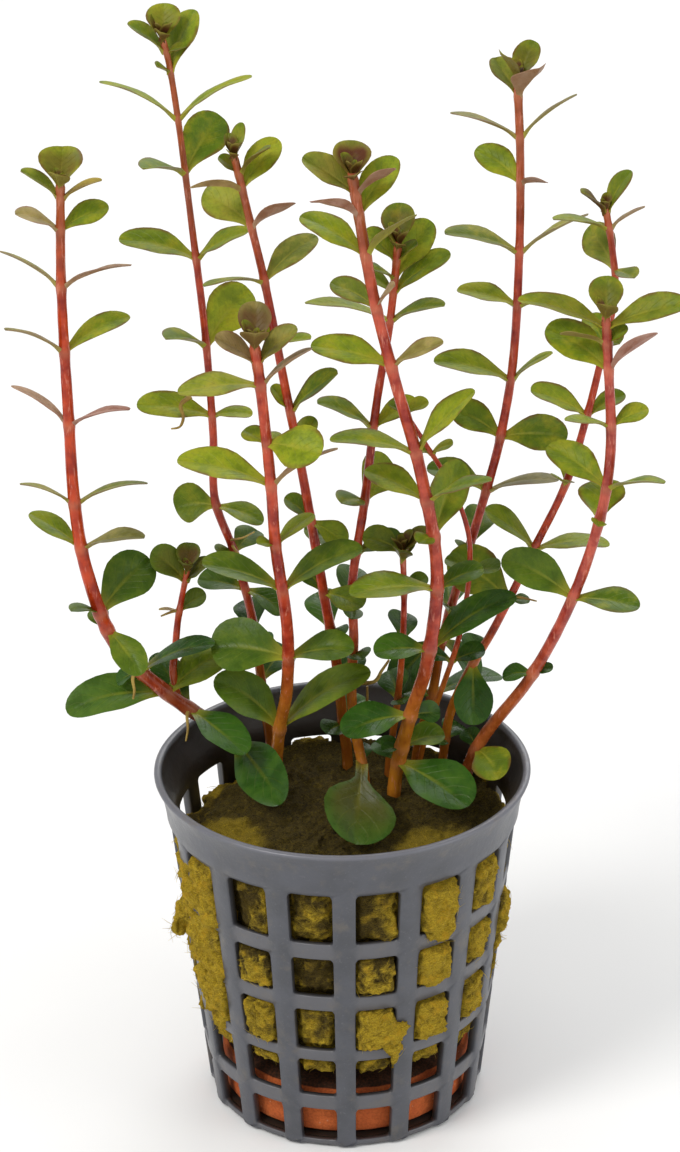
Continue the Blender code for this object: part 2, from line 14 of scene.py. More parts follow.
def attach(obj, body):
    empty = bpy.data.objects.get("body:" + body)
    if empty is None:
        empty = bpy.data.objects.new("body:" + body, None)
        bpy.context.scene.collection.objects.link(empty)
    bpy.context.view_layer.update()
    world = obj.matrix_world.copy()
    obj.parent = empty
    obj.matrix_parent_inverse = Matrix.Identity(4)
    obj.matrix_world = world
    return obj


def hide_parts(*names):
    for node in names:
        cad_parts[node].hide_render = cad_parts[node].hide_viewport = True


MM = 0.001
UP = Vector((0.0, 0.0, 1.0))

# Camera: where it stands, how far it looks down and rolls, and its lens.
CAMERA_PLACE = (0.0, -0.4566, 0.2955)
CAMERA_PITCH = 64.61
CAMERA_ROLL = -0.68
CAMERA_LENS = 117.4
SENSOR_WIDTH = 36.0
CLIP_START = 0.01

# Studio, in metres and watts. A light is its place, its size, its power and its colour.
SQUARE = [(-1, -1), (1, -1), (1, 1), (-1, 1)]
FLOOR_REACH = 4.0
FLOOR_DROP = 0.0002
SKY_STRENGTH = 0.75
LIGHT_TARGET = (0.0, 0.0, 0.075)
LIGHTS = {
    "key": ((-0.50, -0.40, 0.75), 0.35, 4.2, (1.0, 0.98, 0.95)),
    "fill": ((0.65, -0.30, 0.35), 0.45, 1.2, (1.0, 1.0, 1.0)),
    "back": ((0.15, 0.60, 0.60), 0.50, 1.8, (1.0, 1.0, 1.0)),
}

# Net pot. Its wall and floor are sheets pierced by windows with round corners and soft edges.
WALL = 1.3
FLOOR = 1.0
RIB_COUNT = 16
PITCH = 360.0 / RIB_COUNT
RIB_ANGLE = 7.7
HALF_WINDOW = (PITCH - RIB_ANGLE) / 2
FRONT_RIB = 270.0
WINDOW_ROWS = [(1.0, 6.4), (8.8, 14.9), (16.7, 23.5), (25.9, 32.15), (34.7, 42.7)]
WINDOW_CORNER = (1.4, 0.55)
SLOT_CORNER = (3.0, 0.8)
HUB_RADIUS = 6.5
SLOT_OUTER_RADIUS = 14.5
SLOT_MARGIN = 1.5
EDGE = 0.22
FOOT_EDGE = 0.3
# Points along the sill and the head of a window, and along the two ends of a slot.
WINDOW_POINTS = 3
SLOT_POINTS = 7
# How far the bars and the foot lie behind the ribs, and the heights between which that ends.
BAR_INSET = 0.28
BARS_END = (42.75, 43.2)
FOOT_INSET = 0.40
FOOT_END = (0.9, 1.4)
# The band stands out by a small step, which rises and fades between these heights.
BAND_STEP = 0.22
STEP_RISE = (42.8, 43.1)
STEP_FADE = (43.2, 46.0)
WALL_TOP = 43.8
WELD = 0.002
POT_SHARP_ANGLE = 50.0
# The pot's outside from its foot to its brim, then the lip and the inside of the band.
OUTSIDE = [
    (19.25, 0.0), (23.95, 42.7), (24.45, 45.0), (24.95, 47.3), (25.45, 48.6), (25.86, 49.4),
]
LIP = [
    (25.95, 49.62), (25.93, 49.82), (25.78, 49.96), (25.5, 50.0), (25.15, 49.98), (24.92, 49.8),
    (24.8, 49.3), (24.45, 48.0), (23.95, 46.8), (23.35, 45.6), (22.95, 44.6),
]

# Clay weight: the radius and the height of its section, from the middle of its underside.
CLAY_SIDES = 120
CLAY_PROFILE = [
    (0.0, 1.45), (9.0, 1.35), (16.9, 1.25), (17.4, 1.7), (17.5, 3.0), (17.5, 4.5), (17.5, 6.0),
    (17.45, 7.2), (17.3, 8.0), (17.0, 8.5), (16.5, 8.9), (15.6, 9.1), (13.0, 9.2), (9.0, 9.15),
    (4.5, 9.1), (0.0, 9.1),
]
# Heights over which the clay's top turns into the painted shadow that the wool casts on it.
SHADOWED_TOP_HEIGHTS = (7.9, 8.75)

# Rock wool plug. A window is named by its column and its row, both counted from 0.
WOOL_FOOT = 12.3
WOOL_EDGE_HEIGHT = 42.4
WOOL_CROWN = 43.6
WOOL_SLACK = 0.7
WOOL_SIDES = 288
WOOL_LEVELS = 92
WOOL_VOXEL = 0.40
# Rings of the plug's top, as shares of its edge.
TOP_RINGS = (0.93, 0.84, 0.72, 0.58, 0.42, 0.26, 0.12)
# How far the wool stands out of a window, by column and row.
SWELLS = {
    12: {4: 1.1, 3: 1.2, 2: 1}, 13: {4: 1.3, 3: 1.4, 2: 1.2}, 14: {3: 0.5, 2: 0.4},
    0: {3: 0.4, 2: 1.2}, 1: {4: 1.2, 3: 0.8, 2: 1}, 2: {4: 0.6, 3: 0.5, 2: 0.6}, 3: {3: 1.1},
    5: {4: 0.8, 3: 0.6}, 6: {3: 1.1, 2: 0.5}, 8: {4: 0.6, 3: 1.2, 2: 0.7}, 9: {3: 0.5},
    10: {2: 0.9}, 11: {3: 0.8, 2: 1},
}
# The most that it stands out of every window of a column.
MOST_SWOLLEN = {12: -0.4, 13: 0.3}
# How far it lies behind the outside of the wall where it does not stand out.
SUNK = 0.6
DEEP_WINDOWS = {(15, 3): 1.4, (14, 4): 1.1, (15, 4): 0.9, (0, 4): 0.9}
# Columns behind which the top of the plug has sunk, how far, and from which height.
HOLLOW_WINDOWS = (10, 11)
HOLLOW_DEPTH = 3.0
HOLLOW_FOOT = 38.0
# Lumps that hang out of a window: azimuth, height, reach past the wall, and their half sizes
# round the pot, upwards and outwards.
LOBES = [
    (193, 36.6, -0.6, 2.2, 2.4, 1.1), (191, 33.5, -0.5, 2.5, 2.2, 1.2),
    (192, 30.5, -0.3, 2.6, 2.6, 1.2), (191, 27, -0.3, 2.5, 2.4, 1.2),
    (193, 22, -0.3, 2.4, 2.6, 1.1), (193, 18.2, -0.3, 2.2, 2.2, 1.1), (188, 29, 1.2, 1.3, 1.9, 1),
    (189, 26.8, 2, 1, 1.4, 0.9), (196, 15.6, 0, 1.2, 1.1, 0.9), (202, 39.2, 0.1, 2.8, 2.2, 1.2),
    (205.5, 35.8, 0.6, 3, 2.1, 1.3), (201.5, 32.6, 0.3, 2.6, 1.8, 1.2),
    (206.5, 29.4, 0.7, 3.1, 2.1, 1.3), (202.5, 25.8, 0.4, 2.7, 2, 1.2),
    (207, 22, 0.6, 2.9, 2.1, 1.3), (209, 18.4, 0.4, 2.6, 1.9, 1.2), (212, 16.2, 0.1, 2.2, 1.5, 1),
    (213, 39.2, 0.2, 2.6, 2.1, 1.2), (215.5, 34.2, 0.5, 2.6, 2.2, 1.2),
    (213.5, 30, 0.3, 2.5, 2, 1.2), (215.5, 25.6, 0.5, 2.7, 2.1, 1.2),
    (215, 20.4, 0.4, 2.4, 2.2, 1.2), (237, 20.5, -0.1, 2.4, 2.6, 1), (239, 37, -0.6, 1.7, 2.6, 0.9),
    (235.5, 28, -0.1, 2.2, 1.3, 0.9), (239.5, 29.6, -0.3, 1.2, 1.6, 0.9),
    (285, 36.6, -0.6, 1.6, 2.8, 0.9), (281, 27.9, -0.1, 2.7, 1.5, 1),
    (283, 20.8, 0.4, 2.6, 2.2, 1.1), (287.5, 19.8, 0.9, 2.2, 2.1, 1.2),
    (288, 17.2, 0.9, 1.3, 1.9, 0.9), (279, 20, 0.2, 1.8, 1.8, 1),
    (287.5, 14.9, 0.8, 0.55, 1.6, 0.45), (303, 38.5, 0.5, 2.6, 3, 1.2),
    (304.5, 34.8, 0.8, 2.6, 1.8, 1.2), (301, 40, 0.2, 1.6, 1.6, 1), (303, 29.5, 0.2, 2.6, 2.6, 1.1),
    (304, 27, 0.4, 1.8, 1.4, 1), (304, 20.5, 0.4, 2.6, 2.8, 1.1), (325, 38, 0.1, 2.2, 3, 1),
    (327, 29, 0.1, 2.2, 2.6, 1), (326, 20.5, 0.1, 2.2, 2.6, 1), (349, 27.6, 0.4, 1.5, 1.9, 0.9),
    (347, 24.4, 0.4, 1.4, 1.2, 0.8), (345, 21.6, 0, 1.2, 1.2, 0.8),
]
# How bright the wool is in a window, and how much brighter it gets to the right and upwards.
USUAL_LEVEL = 0.58
LEVELS = {
    12: {4: 0.75, 3: 0.75, 2: 0.65}, 13: {4: 0.8, 3: 0.85, 2: 0.8}, 14: {4: 0.3, 3: 0.5, 2: 0.7},
    15: {4: 0.42, 3: 0.1, 2: 0.5}, 0: {4: 0.3, 3: 0.5, 2: 0.8}, 1: {4: 0.85, 3: 0.75, 2: 0.75},
    2: {4: 0.75, 3: 0.8, 2: 0.75},
}
SLOPES = {
    (14, 4): (0.4, 0), (14, 3): (0.1, -0.3), (15, 4): (0.1, 0), (0, 4): (0.4, 0),
    (0, 3): (0, -0.35),
}
# Spots of moss on the plug's top: where each is, and its outer radius.
MOSS = [(14.0, -12.0, 9.0), (-17.0, -8.0, 8.0)]
FIBRE_COUNT = 2600
FIBRE_SEED = 41
FIBRE_RADIUS = 0.05
FIBRE_STEPS = 4

# Stems.
STEM_SIDES = 14
STEM_STEP = 0.75
STEM_SLIMNESS = 0.90
STEM_COLOUR_FOOT = 43.0
STEM_COLOUR_SPAN = 90.0
# How much a node swells, and the heights of the rings round it.
KNOT_SWELL = (0.04, 0.17)
KNOT_RINGS = (-0.9, -0.45, 0.0, 0.35, 0.8)
ROD_SIDES = 8
ROD_STEPS = 6

# Leaves.
LEAF_WIDTH = 2.0
LEAF_WIDTH_SHARE = 0.27
LEAF_MAX_SHARE = 0.75
LOW_LEAF_WIDENING = 1.25
LOW_LEAF_HEIGHTS = (60.0, 95.0)
LOW_COLOUR_HEIGHTS = (62.0, 100.0)
LEAF_ARCH = 30.0
LEAF_TWIST = 18.0
LEAF_STATIONS = (
    0.0, 0.05, 0.10, 0.17, 0.25, 0.34, 0.44, 0.54, 0.64, 0.73, 0.81, 0.88, 0.93, 0.97, 0.99,
)
LEAF_COLUMNS = (-1.0, -0.8, -0.5, -0.2, 0.0, 0.2, 0.5, 0.8, 1.0)
LEAF_THICKNESS = 0.16
# Half the width of a leaf's stalk, and how much thicker than the blade it is.
LEAF_STEM = 0.28
LEAF_STEM_THICKNESS = 0.34
LEAF_STUB = 0.17
# Where a narrow leaf and a broad one are widest, as shares of the length.
LEAF_FULLEST = (0.53, 0.62)
YOUNG_CUP = 0.12
LEAF_SHARP_ANGLE = 62.0
# The small leaves at a tip: length, rise and turn.
BUD_LEAVES = [(3.4, 60.0, 0.0), (3.1, 56.0, 180.0), (2.5, 72.0, 90.0), (2.3, 70.0, 270.0)]
BUD_DROP = 0.6
BUD_TURN = 45.0
BUD_WIDTH_SHARE = 0.55
BUD_CUP = 0.3
BUD_MOOD = (0.0, 0.0, 0.0, 0.8)
WITHERED_TINT = (0.5, 0.5, 0.5, 0.5)
WITHERED_MOOD = (0.0, 0.0, 1.0, 0.0)

# Each shoot. radii are at the foot and at the tip, bud is the size of the small leaves, and hues
# are how pink the stem is and how orange its foot is. route is the points that it runs through,
# and fork where it leaves another stem. withered is petioles, twigs and roots: the points that
# they run through, and their radii at the foot and at the tip.
# A leaf pair is the height of its node, the azimuth of its first leaf, and the two opposite
# leaves. A leaf is its length, its rise, how far its blade turns to the front, its width, and
# where it is widest. The last three are left out where they are the usual ones. A pair may end
# with how much painted backlight glow each of the two gets, which shifts it to the lighter green
# of the upper leaves, and how much each blushes, is withered, or has a brown heart.
SHOOTS = {}
SHOOTS["shoot_far_left"] = dict(radii=(1.3, 0.62), bud=0.7, hues=(0.1, 0.1), route=[
    (-10, 13, 34), (-13, 12.2, 45), (-17, 9, 51), (-24, 5.5, 58.5), (-30.5, 3, 67), (-34, 1, 79),
    (-35.3, 1, 89), (-35.6, 1, 102), (-35.8, 1, 120), (-35.3, 1, 135),
], pairs=[
    (48.4, 293, (16, -9, 35, 7), (4, 5)), (55.4, 320, (11, -20, 10), (9.5, 42, 25, 4.5)),
    (58.6, 8, (11.5, 34, 30), (14.5, -6, 30, 6.2), dict(glow=(0.5, 0.1))),
    (62.7, 350, (12, 26, 8, 5), (4, -30)),
    (70, 310, (8.5, -30, 20, 4.6), (4, 30), dict(glow=(0.25, 0.1))),
    (72.8, 45, (10.9, 26, 42, 6.8), (6, 24, 10, 3)),
    (83, 340, (10, 18, 8, 3.8), (8.6, 28, 14, 3.8), dict(blush=(0.25, 0))),
    (89.5, 10, (10.4, 13, -10, 3.4), (8.2, 27, -15, 3), dict(blush=(0.15, 0.25))),
    (101, 340, (9.6, 21, -8, 3.8), (9.4, 30, -14, 3.4), dict(blush=(0.95, 0.8))),
    (111.3, 30, (10.4, 18, 12, 4), (10, 31, -8, 3.6), dict(blush=(0, 0.35))),
    (120.4, 345, (10.6, 22, -19, 3.6), (9.4, 28, -20, 3.2), dict(blush=(0.7, 0.25))),
    (128.2, 20, (7.1, 21, 28), (6.8, 28, 15), dict(blush=(0, 0.5))),
    (132.5, 355, (6.2, 26, 0, 2), (6.4, 38, 10, 3), dict(dead=(0.75, 0.1))),
    (134, 88, (5.8, 50, 0, 5.8), (4, 44), dict(heart=(0.55, 0.2))),
], withered=[
    ([(-28.2, 3.7, 63.2), (-28.6, 3, 62.1), (-28.4, 2.5, 60.7), (-28.6, 2.5, 59.3)], (0.32, 0.14)),
    ([(-21.2, 6.6, 55.9), (-21.4, 5, 55.1), (-21.3, 4, 53.7), (-21.6, 3.5, 52.1)], (0.3, 0.12)),
])
SHOOTS["shoot_far_left_side"] = dict(
    radii=(0.6, 0.4), bud=0.5, hues=(0.15, 0.3), fork=[(-22.7, 6.3, 57.6)], route=[
    (-23.2, 6.3, 61.6), (-22.9, 7.5, 64), (-22.3, 8, 69), (-20.7, 7.3, 77.2),
], pairs=[
    (70, 15, (4.4, 30, 30), (3, 12, 0, 1), dict(dead=(0.1, 1))),
    (74.6, 350, (5, 42), (6.4, 42, 40, 4.4), dict(heart=(0.35, 0.3))),
    (76.2, 80, (4.2, 52, 0, 3.4), (3, 50), dict(heart=(0.7, 0.6))),
], withered=[
    ([(-22.3, 8, 70.1), (-23.3, 7.8, 69.9), (-24.7, 8, 69.2)], (0.3, 0.12)),
])
SHOOTS["shoot_left_tall"] = dict(radii=(0.78, 0.45), bud=1.1, hues=(0.35, 0.5), route=[
    (-9, 18, 34), (-10.3, 17, 45), (-11.2, 16, 54), (-12.4, 15, 65.7), (-14.6, 14, 76),
    (-17, 13, 84.4), (-17, 13, 94), (-17.7, 12, 109.5), (-19.1, 12, 125.3), (-20.4, 12, 139),
    (-21.4, 12, 147), (-22.2, 12, 150.6),
], pairs=[
    (55, 60, (8, 15), (6, 10)), (63, 100, (7, 20), (6, 0)), (70, 348, (6.5, -30), (7, 8)),
    (76, 55, (6, 12), (4, 20)), (83.5, 350, (7, -18), (6, -5, 60, 5.6)),
    (97, 0, (5.6, 2, 10), (10.5, 9, 25)), (107.6, 50, (10.6, 30, 40, 6.6), (9, 24, 5)),
    (120, 350, (8.5, 31, 15), (10.8, 13, 20)), (132, 52, (9.8, 36, 40, 6), (9.4, 20, 5)),
    (139.5, 5, (11.4, 29, -2, 3.8), (11.6, 28, -8, 3.6)), (145.8, 50, (8.8, 58, 0, 5.6), (3, 30)),
    (148.4, 175, (6.4, 38, 10, 3.4), (3, 20)),
    (150, 85, (5, 62, 0, 4.6), (3, 40), dict(heart=(0.35, 0.6))),
], withered=[
    ([(-15.2, 13.7, 78), (-13.4, 11, 79.5), (-11.6, 8.4, 81.6)], (0.22, 0.08)),
    ([(-15, 13.8, 77.4), (-13.6, 11, 76.6), (-12.4, 8.6, 76.4)], (0.22, 0.08)),
    ([
        (-19.8, 11.2, 100.5), (-21.2, 11, 99.4), (-20.9, 11, 97.6), (-21.4, 11, 96.2),
        (-22.6, 11, 95.9),
    ], (0.36, 0.12)),
])
SHOOTS["shoot_left_middle"] = dict(radii=(0.9, 0.55), hues=(0.3, 0.55), route=[
    (0.8, 13, 34), (0.7, 12.6, 45), (0.2, 12, 50), (-0.6, 10.6, 60), (-2.2, 8, 72), (-4.7, 4, 91),
    (-7.1, 2, 106.5), (-9.3, 2, 120), (-11.2, 2, 129.3), (-13, 2, 138),
], pairs=[
    (50, 60, (7, 10), (5, 10)), (58, 60, (6, 15), (3.5, 20)), (66, 105, (8, 20), (5, 15)),
    (72.5, 322, (7, 0, 30), (5, 42), dict(glow=(0.5, 0))), (84.5, 345, (5.7, -31, 30), (5, 42)),
    (95.9, 35, (5, 55), (5.5, 35)), (101.8, 350, (9, 43), (4.4, 55)),
    (111.8, 340, (5, 15, 5), (5, 22)),
    (120.5, 38, (9.8, 26, 20, 4.2), (10, 10, -14, 3.4), dict(blush=(0.15, 0.1))),
    (128, 330, (8, 34, -24, 3), (8.1, 26, 45, 5.4), dict(blush=(0.8, 0.1))),
    (133.3, 30, (8, 44, 30), (7.8, 12, -24), dict(blush=(0, 0.5), dead=(0, 0.35))),
    (135.2, 345, (6, 44, -8), (3.5, 40), dict(heart=(0.35, 0.4))),
    (137.4, 75, (5, 50, 0, 2), (2.5, 36), dict(heart=(0.2, 0.6))),
])
SHOOTS["shoot_front"] = dict(radii=(1.05, 0.75), bud=1.1, hues=(0.4, 0.85), route=[
    (-9.3, 10, 34), (-9.3, 8.2, 45), (-8.6, 5.5, 53), (-7.5, 3, 60), (-7.2, -1, 71.4),
    (-8.5, -5, 85.8), (-8.9, -7, 95.5), (-10, -8, 110), (-10.7, -8, 116),
], pairs=[
    (52.8, 355, (16, 36, 25, 6.4), (12, 40, 50, 6), dict(glow=(0.4, 0.2))),
    (66.3, 350, (9.5, 12, 22), (11, 4, 45, 8), dict(glow=(0.3, 0.2))),
    (78.2, 8, (12.5, 27, 12, 5.4), (12, 25, 14, 5.4)), (85.8, 30, (6.8, 28, -5), (3, 20)),
    (95.4, 350, (10.8, 33, -22), (13, 13, 20), dict(blush=(0.6, 0))),
    (101.6, 325, (8.5, 2, 35, 6.6), (4, 15)),
    (110, 10, (8.4, 33, -18), (10.9, -1, 15), dict(blush=(0.6, 0.1))),
    (112.8, 0, (7.4, 44, 22), (6.8, 36, 24), dict(blush=(0.2, 0.5), heart=(0.2, 0.35))),
    (115, 90, (6.5, 52, 0, 4.4), (5.5, 44, 0, 3.8), dict(blush=(0.3, 0.2), heart=(0.7, 0.55))),
])
SHOOTS["shoot_centre"] = dict(radii=(1.15, 0.75), hues=(0.7, 0.9), route=[
    (6.6, 4, 34), (7.3, 3.9, 45), (8, 3.5, 49.5), (9.6, 2, 57), (11.7, 0, 65.5), (13, -2, 80),
    (10.7, -3, 95.7), (7.3, -3, 109), (4.6, -3, 121), (2.1, -3, 137),
], pairs=[
    (48.4, 315, (13.5, -9, 15, 8.5), (5, 20)),
    (50.9, 18, (6.5, 10, 20), (3, 0), dict(glow=(0.4, 0))),
    (56.4, 20, (4.5, -5, 40), (10.3, -4, 25, 6)), (67.7, 15, (14.3, 28, 25, 4.8), (8, 5)),
    (77.5, 15, (7, 20), (12.5, 5, 12), dict(glow=(0, 0.5))),
    (85.6, 58, (11.5, 44, 45, 5.4), (4, 10), dict(glow=(0.2, 0.3))),
    (91, 340, (10, 25, 0), (9.5, 20)), (98.1, 5, (11.6, 47, 10), (11.8, 12, 2)),
    (110.4, 350, (7.9, 28, 8), (11, 12, 22), dict(blush=(0.4, 0))),
    (118.5, 330, (4.6, 54), (7.2, 20, 25), dict(blush=(0.6, 0.1))),
    (125.7, 340, (9.4, 43, -12), (10.2, 26, 18)),
    (131.2, 45, (9.3, 42, 24), (9.5, 26, -23, 3.2), dict(blush=(0, 0.9))),
    (134, 350, (6.5, 36, -24), (8.4, 34, 30), dict(blush=(0.8, 0.1), heart=(0.2, 0.3))),
    (136, 92, (5.6, 48, 0, 5), (3.5, 30), dict(blush=(0.1, 0.2), heart=(0.85, 0.6))),
])
SHOOTS["shoot_back_middle"] = dict(radii=(0.85, 0.55), hues=(0.3, 0.9), route=[
    (3.6, 6, 34), (3, 6.8, 45), (1.9, 7.8, 51), (1.4, 8.6, 57), (1.8, 8.8, 64.8), (1.7, 8.8, 73.6),
    (3.4, 8.5, 85.5), (5.2, 8, 100.7), (7, 8, 112), (8.2, 8, 123.5),
], pairs=[
    (46.6, 268, (21, -4, 20, 10.4, 0.73), (4, 20), dict(heart=(0.4, 0))),
    (62.5, 285, (5, 20), (4, 10)), (70, 90, (8, 20), (4, 0)), (78, 350, (7, 25), (8, 25)),
    (86, 60, (8, 25, 50, 6), (7, 20)), (97, 10, (7, 30), (9, 30, 8)),
    (112.5, 350, (8, 20, 5), (11.8, 10, -8)), (116.3, 0, (9.5, 36, 20), (5, 38)),
    (118.4, 45, (9.4, 42, 35, 5), (5, 30)),
    (120.7, 350, (4, 44), (6, 44, 30), dict(heart=(0.1, 0.1))),
    (122.5, 88, (6.5, 52, 0, 4.6), (3, 34), dict(heart=(0.45, 0.5))),
], withered=[
    ([(1.7, 8.6, 58.2), (4.5, 7, 59.2), (5.6, 6.4, 61.2), (6.6, 6, 63)], (0.34, 0.16)),
    ([(1.9, 8.4, 54.6), (3.4, 8, 55.2), (3.6, 8, 58)], (0.3, 0.16)),
])
SHOOTS["shoot_right_tall"] = dict(radii=(0.8, 0.6), bud=0.9, hues=(0.5, 0.7), route=[
    (9.5, 15.5, 34), (10.9, 15.4, 45), (12.7, 15, 52.5), (14.3, 15, 62), (17, 15, 72.4),
    (20.3, 16, 84), (22.1, 16, 91.5), (23.8, 16, 103), (24.5, 16, 118.6), (24.5, 16, 132.4),
    (24, 16, 143.5),
], pairs=[
    (53, 20, (11, 6, 0), (5, 15)), (61.6, 8, (8.5, -52, 30), (10.5, -48, 30)),
    (66, 90, (8, 15), (7, 30)), (76, 70, (8, 20), (4, 20)),
    (84, 350, (10.5, 13, -3), (9, 20), dict(blush=(0.3, 0))),
    (92, 345, (9.5, 5, 45, 5.4), (8, 27, 42, 4.8)), (100.4, 0, (7, 35, -8), (11.1, 16, 14)),
    (111.3, 345, (7.4, 7, -5), (8.6, 10, 8)),
    (118.9, 10, (10.7, 26, -18), (11, 19, 3), dict(blush=(0.2, 0.1))),
    (128.6, 320, (4.5, 15, -30), (8.2, 24, 35), dict(blush=(0.8, 0))),
    (135, 0, (9.6, 38, -20, 3), (10, 21, -10, 3.4), dict(blush=(0.15, 0.3))),
    (140.6, 308, (6.6, 50, 0, 5.2), (6.4, 42, 0, 4.8), dict(blush=(0.7, 0.1))),
    (142.6, 50, (6, 52), (6, 55), dict(heart=(0.45, 0.2))),
])
SHOOTS["shoot_right_back"] = dict(radii=(0.75, 0.5), bud=0.8, hues=(0.4, 0.85), route=[
    (13.5, 12.5, 34), (14.3, 11.9, 45), (15.3, 11.5, 52), (17.5, 11, 58), (21.5, 10.5, 66),
    (26.7, 10, 78), (30.8, 9, 88), (33.5, 9, 98), (35.8, 9, 109), (36.9, 9, 115.5), (36.5, 9, 121),
    (35.4, 9, 127.5),
], pairs=[
    (47.5, 65, (5, 5), (4, 20)), (60, 268, (9, -52, 0), (5, 30)),
    (69.9, 355, (3, 0), (10.6, 36, 60, 7), dict(glow=(0, 0.9))),
    (77.9, 355, (10.6, 5, 0), (9, 40, 8), dict(glow=(0.6, 0.3))), (88, 75, (6, 30), (5, 30)),
    (98, 15, (6, 25), (9.4, 30, 30)), (108, 110, (6, 25), (5, 25)),
    (118.8, 300, (4.6, 5, 10), (7.8, 30, 45, 4.8), dict(blush=(0.1, 0.1))),
    (124.7, 10, (5.6, 30, -22), (8, 14, -5), dict(blush=(0.5, 0))),
    (126.7, 30, (6.6, 56, 0, 4.2), (5.6, 44, 10, 3.4), dict(heart=(0.15, 0.75))),
], withered=[
    ([(23.2, 10.4, 70), (24.4, 8.6, 71.2), (27, 8, 70.8)], (0.28, 0.1)),
])
SHOOTS["shoot_right_front"] = dict(radii=(1, 0.7), hues=(1, 1), route=[
    (16.5, 9, 34), (17.7, 8.3, 45), (20, 7.5, 50.5), (26, 5, 60.5), (31.5, 1, 74.8), (34.9, -1, 88),
    (35.9, -2, 97.7), (35.5, -2, 107.6), (34.9, -2, 116.6),
], pairs=[
    (48, 290, (9.5, 0, 20), (4, 20), dict(glow=(0.8, 0))), (61.4, 350, (3, 20), (4.5, -12)),
    (74.6, 337, (9.6, 1, 16), (11.3, 22, 40, 5.6), dict(glow=(0.5, 0))),
    (87, 82, (6.6, 34, 0, 6.4), (3, 10), dict(glow=(0.6, 0))),
    (92, 325, (9.3, 18, -10), (10.3, 22, 30)), (101.2, 10, (5.5, 22), (6.5, 12, -5)),
    (109.1, 330, (9.6, 44, -23, 3.2), (10.3, 25, 35, 5.6), dict(blush=(0.95, 0))),
    (112.8, 0, (3.5, 40), (6.5, 14, -22), dict(blush=(0, 0.2))),
    (114.9, 345, (12, 22, 30, 4.6), (12.4, 15, 6, 4.4), dict(heart=(0.2, 0.3))),
    (116.1, 88, (6, 55, 0, 4.6), (4, 50), dict(heart=(0.35, 0.5))),
])
SHOOTS["shoot_thin"] = dict(radii=(0.5, 0.35), bud=0.5, hues=(0.3, 0.6), route=[
    (10, 9.5, 34), (10.8, 9.3, 45), (13, 8.5, 54), (16.5, 7, 67), (17.7, 6.5, 80), (15.6, 6.5, 88),
    (11.9, 6, 95), (8.5, 5.5, 101),
], pairs=[
    (62, 0, (5, 20), (4, 20)), (76, 330, (5, 20), (4, 20)), (94, 345, (3.5, 30), (3, 10)),
    (100, 15, (3.5, 25), (3, 35)),
])
SHOOTS["shoot_inner"] = dict(radii=(0.6, 0.45), hues=(0.3, 0.5), route=[
    (6, 10, 34), (6.5, 9.2, 45), (7.6, 8, 54), (8.4, 6, 64), (8.7, 4.5, 73.6), (8.5, 4, 81),
], pairs=[
    (56, 100, (6, 20), (4, 20)), (66, 90, (6, 20), (5, 20)), (74, 20, (4, 30), (6, 25)),
    (79, 80, (4, 50), (4.5, 45), dict(heart=(0.5, 0.3))),
    (80.3, 350, (5, 45), (6, 20, 40), dict(heart=(0.6, 0.2))),
])


def clamp(value, low=0.0, high=1.0):
    return min(max(value, low), high)


def ease(value, low=0.0, high=1.0):
    """Runs smoothly from 0 at low to 1 at high."""
    share = clamp((value - low) / (high - low))
    return share * share * (3.0 - 2.0 * share)


def fade(value, low, high):
    """Runs smoothly from 1 at low to 0 at high."""
    return 1.0 - ease(value, low, high)


def bell(value, width):
    return math.exp(-((value / width) ** 2))


def lumps(point, *layers):
    """Noise in layers, each with how fine it is and how strong."""
    return sum(noise.noise(point * fine) * strong for fine, strong in layers)


def polar(radius, azimuth, height):
    turn = math.radians(azimuth)
    return Vector((radius * math.cos(turn), radius * math.sin(turn), height))


def azimuth_of(point):
    return math.degrees(math.atan2(point.y, point.x))


def circle(middle, side, other, radius, sides):
    """Points round a middle, from one direction towards another."""
    for corner in range(sides):
        turn = 2 * math.pi * corner / sides
        yield middle + (side * math.cos(turn) + other * math.sin(turn)) * radius


def around(ring):
    """Each neighbouring pair of a closed ring."""
    return zip(ring, [*ring[1:], ring[0]])


def skin_faces(rings):
    """The corners of each face between neighbouring closed rings."""
    for low, high in zip(rings, rings[1:]):
        for (a, b), (c, d) in zip(around(low), around(high)):
            yield (a, b, d, c)


def link(name, data):
    """A new object in the scene."""
    made = bpy.data.objects.new(name, data)
    bpy.context.scene.collection.objects.link(made)
    return made


def settle(piece, slot, *nodes):
    """Hooks a finished piece to the frame in place of its nodes."""
    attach(piece, "root")
    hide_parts(*nodes)


class Shape:
    """Gathers the points and faces of one piece, with two colours a point for its material."""

    def __init__(self):
        self.points = []
        self.faces = []
        self.kinds = []
        self.tints = []
        self.moods = []

    def add(self, point, tint=(0.0, 0.0, 0.0, 0.0), mood=(0.0, 0.0, 0.0, 0.0)):
        self.points.append(tuple(point))
        self.tints.append(tint)
        self.moods.append(mood)
        return len(self.points) - 1

    def ring(self, points, *colours):
        return [self.add(point, *colours) for point in points]

    def face(self, corners, kind=0):
        self.faces.append(tuple(corners))
        self.kinds.append(kind)

    def tube(self, rings, kind=0):
        """Skins a row of closed rings of point numbers and caps both ends."""
        for corners in (*skin_faces(rings), reversed(rings[0]), rings[-1]):
            self.face(corners, kind)

    def make(self, name, *surfaces):
        mesh = bpy.data.meshes.new(name)
        mesh.from_pydata([[v * MM for v in point] for point in self.points], [], self.faces)
        for title, values in (("tint", self.tints), ("mood", self.moods)):
            layer = mesh.color_attributes.new(title, "FLOAT_COLOR", "POINT")
            layer.data.foreach_set("color", [v for value in values for v in value])
        mesh.polygons.foreach_set("material_index", self.kinds)
        for surface in surfaces:
            mesh.materials.append(surface)
        mesh.shade_smooth()
        mesh.update()
        return link(name, mesh)


